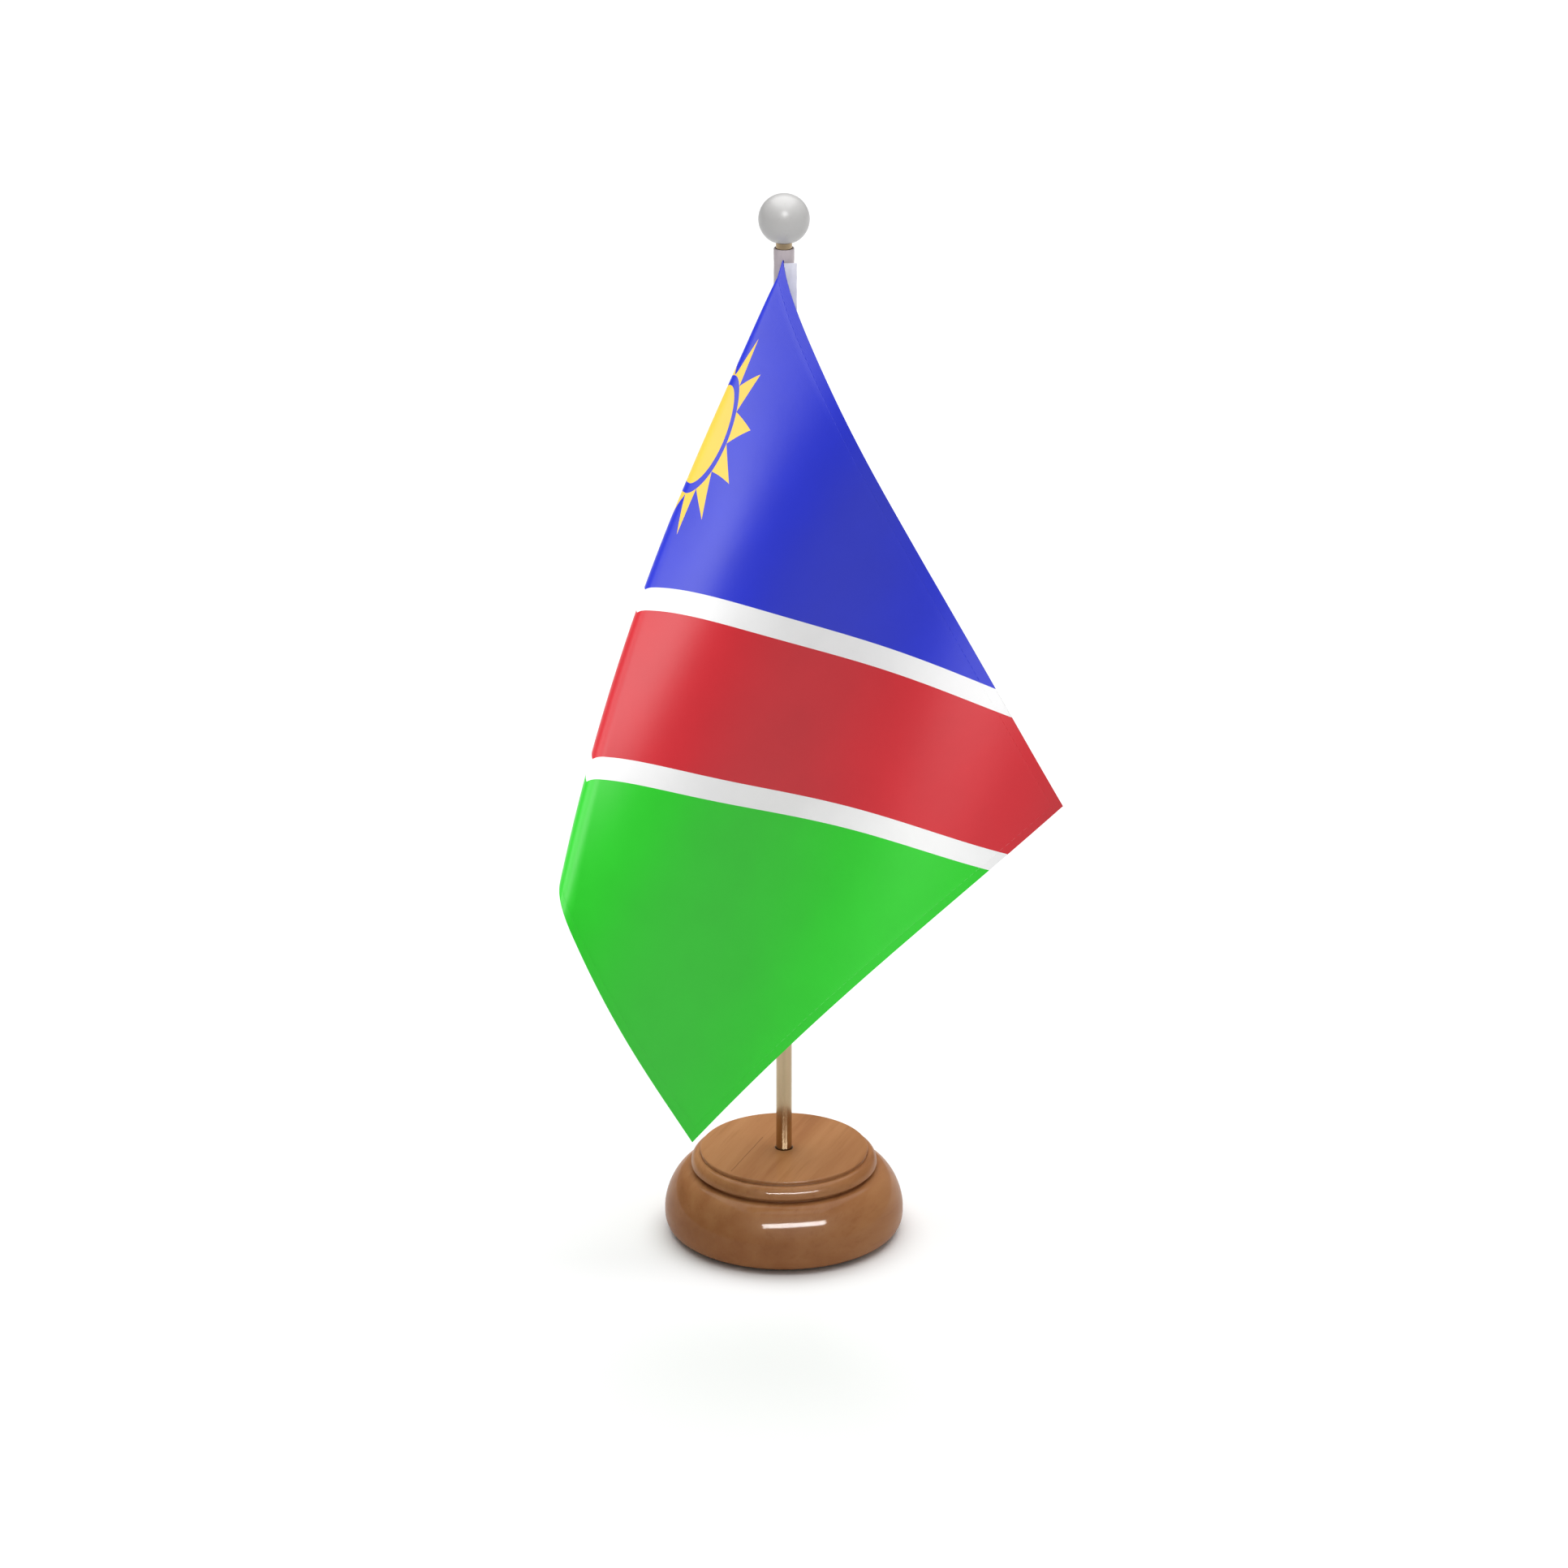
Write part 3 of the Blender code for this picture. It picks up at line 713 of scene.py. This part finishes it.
def body_outline(top, base_radius, rim):
    centre = base_radius - BASE_SHOULDER_DEPTH
    crown = top - BASE_CROWN_DROP
    upper = superellipse_quarter(
        BASE_SHOULDER_DEPTH, crown - BASE_WAIST_HEIGHT, UPPER_CURVE_POWER, UPPER_CURVE_STEPS)
    lower = superellipse_quarter(
        BASE_SHOULDER_DEPTH, BASE_WAIST_HEIGHT - rim, LOWER_CURVE_POWER, LOWER_CURVE_STEPS)
    outline = [(centre + out, BASE_WAIST_HEIGHT + up) for out, up in upper[1:]]
    rising = lower[UNDERSIDE_STEPS:-1]
    outline += [(centre + out, BASE_WAIST_HEIGHT - up) for out, up in reversed(rising)]
    return outline


def make_base(varnish, bare):
    low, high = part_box("wood_base")
    _, felt_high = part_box("base_felt")
    _, insert_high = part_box("base_insert")
    pole_low, pole_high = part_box("pole_tube")
    seat = pole_high.x + SEAT_GAP
    recess = felt_high.x + FELT_GAP
    ceiling = felt_high.z + FELT_GAP
    insert_bore = insert_high.x + SEAT_GAP
    outline = [(seat, high.z - SEAT_EDGE), (seat + SEAT_EDGE, high.z)]
    outline += ring_outline(high.z)
    outline += body_outline(high.z, high.x, low.z)
    outline += [
        (recess, low.z), (recess, ceiling), (insert_bore, ceiling),
        (insert_bore, pole_low.z), (seat, pole_low.z),
    ]
    obj = turned("turned_base", outline, BASE_FACETS, varnish, closed=True)
    obj.data.materials.append(bare)
    for face in obj.data.polygons:
        faces_down = face.normal.z < FACES_DOWN
        in_bore = math.hypot(*face.center[:2]) < seat + SEAT_EDGE / 2
        if faces_down or in_bore:
            face.material_index = 1
    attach(obj, "base")
    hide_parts("wood_base")
    return obj


def make_felt(material):
    low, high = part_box("base_felt")
    bend = high.x - FELT_EDGE
    outline = [(0.0, high.z)]
    outline += arc(bend, high.z - FELT_EDGE, FELT_EDGE, 90, 0, EDGE_STEPS)
    outline += arc(bend, low.z + FELT_EDGE, FELT_EDGE, 0, -90, EDGE_STEPS)
    outline += [(0.0, low.z)]

    def nap(radius, height, angle):
        """A felt disc is cut by hand and isn't quite true."""
        wobble = FELT_WOBBLE * np.sin(angle * 9 + 1.3) * np.sin(angle * 4)
        return np.where(radius > FELT_EDGE, radius + wobble - FELT_WOBBLE, radius), height

    obj = turned("felt_pad", outline, FELT_FACETS, material, shape=nap)
    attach(obj, "base")
    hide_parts("base_felt")


def make_pole(material):
    low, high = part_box("pole_tube")
    bend = high.x - POLE_END_BEVEL
    outline = [(POLE_BORE_RADIUS, high.z)]
    outline += arc(bend, high.z - POLE_END_BEVEL, POLE_END_BEVEL, 90, 0, EDGE_STEPS)
    outline += arc(bend, low.z + POLE_END_BEVEL, POLE_END_BEVEL, 0, -90, EDGE_STEPS)
    outline += [(POLE_BORE_RADIUS, low.z)]
    obj = turned("polished_pole", outline, POLE_FACETS, material, closed=True)
    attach(obj, "pole")
    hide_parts("pole_tube")


def make_stud(node, body, name, thread_low, thread_high, material):
    """A stud with a real helical thread where it leaves the tube, and a plain pressed shank."""
    low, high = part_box(node)
    radius = high.x
    length = high.z - low.z
    rows = int(length / THREAD_PITCH * THREAD_STEPS)
    outline = [(0.0, high.z)]
    outline += [(radius, high.z - length * i / rows) for i in range(rows + 1)]
    outline += [(0.0, low.z)]

    def thread(radii, heights, angle):
        phase = (heights / THREAD_PITCH - angle / (2 * math.pi)) % 1.0
        valley = THREAD_DEPTH * np.abs(2 * phase - 1) ** THREAD_FORM_POWER
        cut = (heights > thread_low) & (heights < thread_high) & (radii > 0)
        ends = np.minimum(heights - low.z, high.z - heights)
        taper = np.clip(STUD_END_TAPER - ends, 0, None)
        return np.where(radii > 0, radii - np.where(cut, valley, 0.0) - taper, radii), heights

    obj = turned(name, outline, STUD_FACETS, material, shape=thread)
    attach(obj, body)
    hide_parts(node)


def make_studs(material):
    foot_low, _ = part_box("foot_stud")
    _, top_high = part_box("top_stud")
    pole_low, pole_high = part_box("pole_tube")
    make_stud("foot_stud", "pole_foot", "threaded_foot_stud", foot_low.z, pole_low.z, material)
    make_stud("top_stud", "pole", "threaded_top_stud", pole_high.z, top_high.z, material)


def make_insert(node, body, name, material):
    """A knurled brass bush, with grooves between its rings and a chamfered bore."""
    low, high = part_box(node)
    _, stud_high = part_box("foot_stud")
    bore = stud_high.x + SEAT_GAP
    radius = high.x
    groove = radius - INSERT_GROOVE_DEPTH
    ring = (high.z - low.z) / (2 * INSERT_BANDS + 1)
    outline = []
    for i in range(INSERT_BANDS + 1):
        crest = high.z - 2 * i * ring
        outline += [(radius - INSERT_EDGE, crest), (radius, crest - INSERT_EDGE)]
        outline += [(radius, crest - ring + INSERT_EDGE), (radius - INSERT_EDGE, crest - ring)]
        if i < INSERT_BANDS:
            outline += [(groove, crest - (1 + INSERT_GROOVE_SLOPE) * ring)]
            outline += [(groove, crest - (2 - INSERT_GROOVE_SLOPE) * ring)]
    outline += [(bore + SEAT_EDGE, low.z), (bore, low.z + SEAT_EDGE)]
    outline += [(bore, high.z - SEAT_EDGE), (bore + SEAT_EDGE, high.z)]

    def knurl(radii, heights, angle):
        teeth = KNURL_DEPTH * np.cos(angle * KNURL_TEETH)
        on_ring = radii > radius - KNURL_REACH
        return np.where(on_ring, radii - KNURL_DEPTH + teeth, radii), heights

    obj = turned(name, outline, INSERT_FACETS, material, closed=True, shape=knurl)
    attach(obj, body)
    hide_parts(node)


def make_ball(material):
    low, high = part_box("finial_ball")
    radius = high.x
    centre = high.z - radius
    flat_angle = -math.degrees(math.acos(BALL_FLAT_RADIUS / radius))
    outline = [(0.0, high.z)]
    outline += arc(0.0, centre, radius, 90, flat_angle + BALL_EDGE_TURN_DEG, BALL_STEPS)[1:]
    outline += [(BALL_FLAT_RADIUS - BALL_EDGE_BEVEL, low.z), (BALL_BORE_RADIUS, low.z)]
    outline += [(BALL_BORE_RADIUS, low.z + BALL_BORE_DEPTH), (0.0, low.z + BALL_BORE_DEPTH)]
    obj = turned("ball_finial", outline, BALL_FACETS, material)
    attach(obj, "finial")
    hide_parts("finial_ball")
    return obj


# ---------------------------------------------------------------- sleeve and header


def make_sleeve(material):
    """The fabric tube round the pole, with a turned-in mouth and soft creases."""
    low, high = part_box("flag_sleeve")
    _, pole_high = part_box("pole_tube")
    outer = high.x
    lip = (outer - (pole_high.x + SLEEVE_POLE_GAP)) / 2
    length = high.z - low.z - 2 * lip
    outline = arc(outer - lip, high.z - lip, lip, 180, 0, LIP_STEPS)
    outline += [(outer, high.z - lip - length * i / SLEEVE_ROWS) for i in range(1, SLEEVE_ROWS)]
    outline += arc(outer - lip, low.z + lip, lip, 0, -180, LIP_STEPS)

    def crease(radii, heights, angle):
        depth = (high.z - heights) / MM
        wave = np.sin(depth * 0.9 + 3 * np.sin(angle)) * np.sin(depth * 0.37 + 2 * angle)
        hem = np.clip(1 - np.abs(depth - SLEEVE_HEM_AT_MM) / SLEEVE_HEM_REACH_MM, 0, 1)
        pulled = SLEEVE_CREASE * (wave - 1) - SLEEVE_HEM_DEPTH * hem
        return np.where(radii > outer - lip, radii + pulled, radii), heights

    obj = turned("satin_sleeve", outline, SLEEVE_FACETS, material, closed=True, shape=crease)
    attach(obj, "sleeve")
    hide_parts("flag_sleeve")
    return obj


def make_header(material):
    """The header tape: a ribbon with soft edges, lightly rippled down its length."""
    low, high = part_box("flag_header")
    middle = (low.y + high.y) / 2
    points = np.zeros((HEADER_ROWS + 1, HEADER_COLUMNS + 1, 3))
    for row in range(HEADER_ROWS + 1):
        z = high.z + (low.z - high.z) * row / HEADER_ROWS
        edge = abs(HEADER_EDGE_RIPPLE * math.sin(row * 0.47))
        for col in range(HEADER_COLUMNS + 1):
            share = col / HEADER_COLUMNS
            x = low.x + (high.x - low.x) * share - (edge if share > 0.5 else 0)
            ripple = HEADER_LONG_RIPPLE * math.sin(row * 0.31) * share
            ripple += HEADER_SHORT_RIPPLE * math.sin(row * 0.83 + 2 * share)
            points[row, col] = (x, middle + ripple, z)
    obj = sheet_object("header_tape", points, material)
    solidify(obj, (high.y - low.y) * HEADER_FULLNESS)
    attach(obj, "flag")
    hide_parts("flag_header")
    return obj


# ---------------------------------------------------------------- flag cloth


def column(values):
    return np.asarray(values)[..., None]


def hoist_top():
    """Top end of the cloth's hoist edge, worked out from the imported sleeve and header."""
    header_low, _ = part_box("flag_header")
    _, sleeve_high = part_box("flag_sleeve")
    front = header_low.y - HEADER_CLOTH_GAP - CAD_CLOTH_THICKNESS / 2
    return np.array((HOIST_OFFSET, front, sleeve_high.z - HOIST_TOP_DROP))


def panel_normal():
    """The way the front panel faces."""
    normal = np.cross(FLY_TOP, FLY_FOOT)
    return normal / np.linalg.norm(normal) * -np.sign(normal[1])


def bowed(start, end, share, bow):
    """Points on a line that bows out by bow at its middle."""
    share = column(share)
    return start + (end - start) * share + 4 * share * (1 - share) * bow


def wave(points):
    """A long swell across the panel, running parallel with the fold and fading out at the top
    corner."""
    along = FOLD_FOOT / np.linalg.norm(FOLD_FOOT)
    across = points @ np.cross(panel_normal(), along)
    grown = np.clip(np.linalg.norm(points, axis=-1) / WAVE_GROWS_OVER, 0, 1)
    grown = grown**2 * (3 - 2 * grown)
    turn = 2 * math.pi / WAVE_LENGTH
    swell = np.cos(turn * (across - WAVE_CREST)) - math.cos(turn * WAVE_CREST)
    return WAVE_HEIGHT * grown * swell


def top_line(across):
    """The flag's top edge from the fold to the fly. It hangs steepest near the top corner."""
    belly = column(4 * across * (1 - across)) * TOP_EDGE_BELLY * panel_normal()
    lean = column(0.5 + TOP_BOW_LEAN / 2 * (TOP_BOW_BALANCE - 2 * across))
    near = across / TOP_TUCK_REACH
    tuck = column(near * np.exp(1 - near)) * TOP_CORNER_TUCK
    return bowed(np.zeros(3), FLY_TOP, across, lean * TOP_EDGE_BOW) + belly + tuck


def fold_top_line(down):
    """The fold, from the top corner to the foot of the flag."""
    ease = column(1 - FOLD_EASE * np.exp(-((down / FOLD_EASE_REACH) ** 2)))
    return bowed(np.zeros(3), FOLD_FOOT, down, ease * FOLD_BOW)


def front_panel(across, down):
    """The part seen from the front, stretched between the top, fly, foot and fold edges."""
    top_edge = top_line(across)
    foot_edge = bowed(FOLD_FOOT, FLY_FOOT, across, FOOT_EDGE_BOW)
    fold_edge = fold_top_line(down)
    fly_edge = bowed(FLY_TOP, FLY_FOOT, down, FLY_EDGE_BOW)
    a, d = column(across), column(down)
    flat = a * (1 - d) * FLY_TOP + (1 - a) * d * FOLD_FOOT + a * d * FLY_FOOT
    points = (1 - d) * top_edge + d * foot_edge + (1 - a) * fold_edge + a * fly_edge - flat
    return points + column(wave(points)) * panel_normal()


def back_panel(across, down):
    """The part between the hoist edge and the fold, which bulges away behind the front panel."""
    hoist = column(-FLAG_HOIST * down) * np.array((0.0, 0.0, 1.0))
    chord = front_panel(np.zeros_like(across), down) - hoist
    level = np.zeros_like(chord[..., 0])
    sideways = np.stack((chord[..., 1], -chord[..., 0], level), axis=-1)
    bulge = BACK_BULGE * column(np.sin(math.pi * across))
    return hoist + chord * column(across) + sideways * bulge


def fold_line(down):
    """How far along the fly the fold lies, and how far its rounding reaches to either side."""
    fold = FOLD_SHARE * FLAG_FLY * down
    reach = FOLD_ROUND_TOP + (FOLD_ROUND_FOOT - FOLD_ROUND_TOP) * down
    return fold, np.minimum(reach, np.maximum(fold, LEAST_REACH))


def sharp_drape(fly, down):
    """Where the cloth would hang if its fold were a sharp crease."""
    fold, _ = fold_line(down)
    behind = np.clip(fly / np.maximum(fold, LEAST_REACH), 0, 1)
    ahead = np.clip((fly - fold) / (FLAG_FLY - fold), 0, 1)
    return np.where(column(fly <= fold), back_panel(behind, down), front_panel(ahead, down))


def drape(fly, down):
    """Where points of the cut cloth hang: fly is measured from the hoist edge, and down is the
    share of the hoist from the top edge."""
    fold, reach = fold_line(down)
    turn = column(np.clip((fly - fold + reach) / (2 * reach), 0, 1))
    rounded = (
        (1 - turn) ** 2 * sharp_drape(fold - reach, down)
        + 2 * turn * (1 - turn) * sharp_drape(fold, down)
        + turn**2 * sharp_drape(fold + reach, down)
    )
    inside = column(np.abs(fly - fold) < reach)
    return hoist_top() + np.where(inside, rounded, sharp_drape(fly, down))


def from_fold(fly, down):
    """How far along the fold a point of the cut cloth lies, as a share, how far in front of the
    fold, in hoist heights, and the fold's direction and length on the cut."""
    fold = np.array((FOLD_SHARE * FLY_RATIO, 1.0))
    length = np.linalg.norm(fold)
    fold = fold / length
    u = fly / FLAG_HOIST
    return (u * fold[0] + down * fold[1]) / length, u * fold[1] - down * fold[0], fold, length


def band_place(fly, down):
    """Where a point of the cloth lies on the printed bands, in hoist heights. The satin stretches
    on the bias, so the bands drift square to themselves as the cloth leaves the fold."""
    along, ahead, _, _ = from_fold(fly, down)
    late = along - BAND_MIDDLE
    front = np.clip(ahead, 0, None)
    eased = 1 - np.exp(-front / BAND_EASE)
    drift = (
        BAND_SHIFT + BAND_SHIFT_GROWS * late
        + BAND_EASED * eased + BAND_EASED_GROWS * (eased * late)
        + BAND_STRETCH * front + BAND_STRETCH_GROWS * (front * late)
    )
    behind = np.clip(1 + ahead / BAND_SETTLES, 0, 1)
    slant = np.array((1.0, FLY_RATIO)) / math.hypot(1.0, FLY_RATIO)
    return np.stack((fly / FLAG_HOIST, down), axis=-1) + column(drift * behind) * slant


def sun_place(fly, down):
    """East and south of the sun's centre, in hoist heights. The sun is printed over the fold,
    where the cloth is drawn in, so its half on the front is narrow."""
    along, ahead, fold, length = from_fold(fly, down)
    slide = SUN_SLIDE * np.clip(ahead, 0, SUN_NEAR) ** 2
    ahead = ahead - SUN_AHEAD
    widened = np.sqrt(SUN_EDGE_WIDTH**2 + 4 * SUN_WIDENS * np.clip(ahead, 0, None))
    spread = (widened - SUN_EDGE_WIDTH) / (2 * SUN_WIDENS)
    across = np.where(ahead > 0, spread, ahead)
    lengthwise = ((along - SUN_ALONG) * length - slide) * SUN_LENGTHEN
    square = np.array((fold[1], -fold[0]))
    return column(lengthwise) * fold + column(across) * square


def row_shares():
    """Shares of the hoist from the top edge, in even steps, with close pairs where a hem ends."""
    shares = np.linspace(0, 1, CLOTH_ROWS + 1)
    hem, edge = HEM_WIDTH / FLAG_HOIST, HEM_EDGE / FLAG_HOIST
    pairs = [1 - hem, 1 - hem + edge, hem, (HEM_WIDTH - HEM_EDGE) / FLAG_HOIST]
    far = [s for s in shares if min(abs(s - p) for p in pairs) > LEAST_ROW_GAP / CLOTH_ROWS]
    return np.array(sorted(far + pairs))


def even_columns(count, start, width, last=False):
    """Columns in even steps. The last one is left out where the next span begins with it."""
    steps = np.linspace(0, 1, count + 1)[None, :]
    return start + (steps if last else steps[:, :-1]) * width


def cloth_grid():
    """Fly distances and down shares of the cloth's points, in rows and columns that follow the
    fold."""
    down = row_shares()[:, None]
    fold, reach = fold_line(down)
    start = fold + reach
    hem = FLAG_FLY - HEM_WIDTH
    behind = even_columns(BACK_COLUMNS, 0.0, fold - reach)
    around = even_columns(FOLD_COLUMNS, fold - reach, 2 * reach)
    ahead = even_columns(FRONT_COLUMNS, start, hem - start, last=True)
    in_hem = hem + np.array((HEM_EDGE, HEM_WIDTH / 3, HEM_WIDTH * 2 / 3, HEM_WIDTH))[None, :]
    in_hem = np.repeat(in_hem, len(down), axis=0)
    fly = np.concatenate((behind, around, ahead, in_hem), axis=1)
    return fly, np.repeat(down, fly.shape[1], axis=1)


def make_cloth(material):
    """The flag: one cut of satin with hems on three edges, hung from its top corner and folded."""
    fly, down = cloth_grid()
    obj = sheet_object("printed_flag", drape(fly, down), material, {
        "print": band_place(fly, down),
        "sun": sun_place(fly, down),
        "cut": np.stack((fly / FLAG_HOIST, down), axis=-1),
    })
    hem = HEM_WIDTH - HEM_EDGE / 2
    from_edges = (down * FLAG_HOIST, (1 - down) * FLAG_HOIST, FLAG_FLY - fly)
    hemmed = np.minimum.reduce(from_edges) <= hem
    group = obj.vertex_groups.new(name="hem")
    group.add(np.flatnonzero(hemmed.ravel()).tolist(), 1.0, "REPLACE")
    solidify(obj, CLOTH_THICKNESS, "hem", PLAIN_SHARE)
    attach(obj, "flag")
    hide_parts("flag_cloth")
    return obj


# ---------------------------------------------------------------- floor, lights, camera


def make_floor(material):
    half = FLOOR_SIZE / 2
    points = [(-half, -half, 0), (half, -half, 0), (half, half, 0), (-half, half, 0)]
    mesh = bpy.data.meshes.new("floor")
    mesh.from_pydata(points, [], [(0, 1, 2, 3)])
    floor = add_object("floor", mesh, material)
    floor.location.z = -FLOOR_DROP


def area_light(name, place, size, power, only=None):
    """A softbox. One with only set lights nothing but the pieces in that collection."""
    data = bpy.data.lights.new(name, "AREA")
    data.shape = "RECTANGLE"
    data.size, data.size_y = size
    data.energy = power
    light = bpy.data.objects.new(name, data)
    bpy.context.scene.collection.objects.link(light)
    light.location = place
    aim = Vector(LIGHT_AIM) - Vector(place)
    light.rotation_euler = aim.to_track_quat("-Z", "Y").to_euler()
    if only:
        light.light_linking.receiver_collection = only
    return light


def make_world():
    """A plain studio: bright overhead, dimmer towards the horizon and on the left."""
    world = bpy.context.scene.world or bpy.data.worlds.new("studio")
    bpy.context.scene.world = world
    world.use_nodes = True
    tree = world.node_tree
    background = tree.nodes["Background"]
    place = tree.nodes.new("ShaderNodeTexCoord")
    parts = tree.nodes.new("ShaderNodeSeparateXYZ")
    tree.links.new(place.outputs["Generated"], parts.inputs[0])
    ramp = tree.nodes.new("ShaderNodeMapRange")
    ramp.inputs["From Min"].default_value = WORLD_LOW_AT
    ramp.inputs["From Max"].default_value = 1.0
    ramp.inputs["To Min"].default_value = WORLD_LOW
    ramp.inputs["To Max"].default_value = WORLD_HIGH
    tree.links.new(parts.outputs["Z"], ramp.inputs["Value"])
    dim = tree.nodes.new("ShaderNodeMath")
    dim.operation = "MULTIPLY_ADD"
    tree.links.new(parts.outputs["X"], dim.inputs[0])
    dim.inputs[1].default_value = WORLD_LEFT_DIM
    tree.links.new(ramp.outputs[0], dim.inputs[2])
    tree.links.new(dim.outputs[0], background.inputs["Strength"])
    background.inputs["Color"].default_value = (1.0, 1.0, 1.0, 1.0)


def lit_group(name, *objects):
    """A collection for the pieces that a light is kept to."""
    group = bpy.data.collections.new(name)
    for obj in objects:
        group.objects.link(obj)
    return group


def make_lights(cloth, base, whites):
    make_world()
    print_only = lit_group("print_only", cloth)
    white_pieces = lit_group("white_pieces", *whites)
    wood = lit_group("wood", base)
    glint = area_light("front_glint", (0.25, -1.25, 0.96), (1.7, 0.25), GLINT_POWER, wood)
    glint.visible_diffuse = False
    area_light("overhead", (0.0, 0.6, 3.0), (4.0, 4.0), OVERHEAD_POWER)
    area_light("flag_key", (-1.8, -0.55, 0.35), (0.9, 0.9), FLAG_KEY_POWER, print_only)
    area_light("flag_sheen", (-1.0, -1.35, 0.8), (0.6, 0.6), FLAG_SHEEN_POWER, print_only)
    area_light("soft_front", (0.1, -1.2, 1.3), (0.5, 0.5), SOFT_FRONT_POWER, white_pieces)


def make_camera():
    data = bpy.data.cameras.new("camera")
    data.sensor_width = CAMERA_SENSOR_MM
    data.lens = CAMERA_LENS_MM
    data.clip_end = CAMERA_FARTHEST
    camera = bpy.data.objects.new("camera", data)
    bpy.context.scene.collection.objects.link(camera)
    camera.location = (0.0, -CAMERA_DISTANCE, CAMERA_HEIGHT)
    camera.rotation_euler = (math.radians(90 - CAMERA_TILT_DEG), 0.0, 0.0)
    bpy.context.scene.camera = camera


def main():
    make_camera()
    steel = turned_metal("bright_steel", STEEL, roughness=0.28)
    brass = turned_metal("turned_brass", BRASS, roughness=0.25)
    base = make_base(varnished_wood(), bare_wood())
    make_felt(dark_felt())
    make_insert("base_insert", "base", "brass_base_insert", brass)
    make_studs(steel)
    make_pole(champagne_metal())
    make_insert("finial_insert", "finial_core", "brass_ball_insert", brass)
    ball = make_ball(white_plastic())
    sleeve = make_sleeve(white_satin("sleeve_satin", SLEEVE_WHITE))
    header = make_header(white_satin("header_satin", HEADER_WHITE))
    cloth = make_cloth(printed_satin())
    make_floor(pale_floor())
    make_lights(cloth, base, (ball, sleeve, header))
    bpy.context.scene.view_settings.view_transform = "Standard"


clear_scene()
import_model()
main()
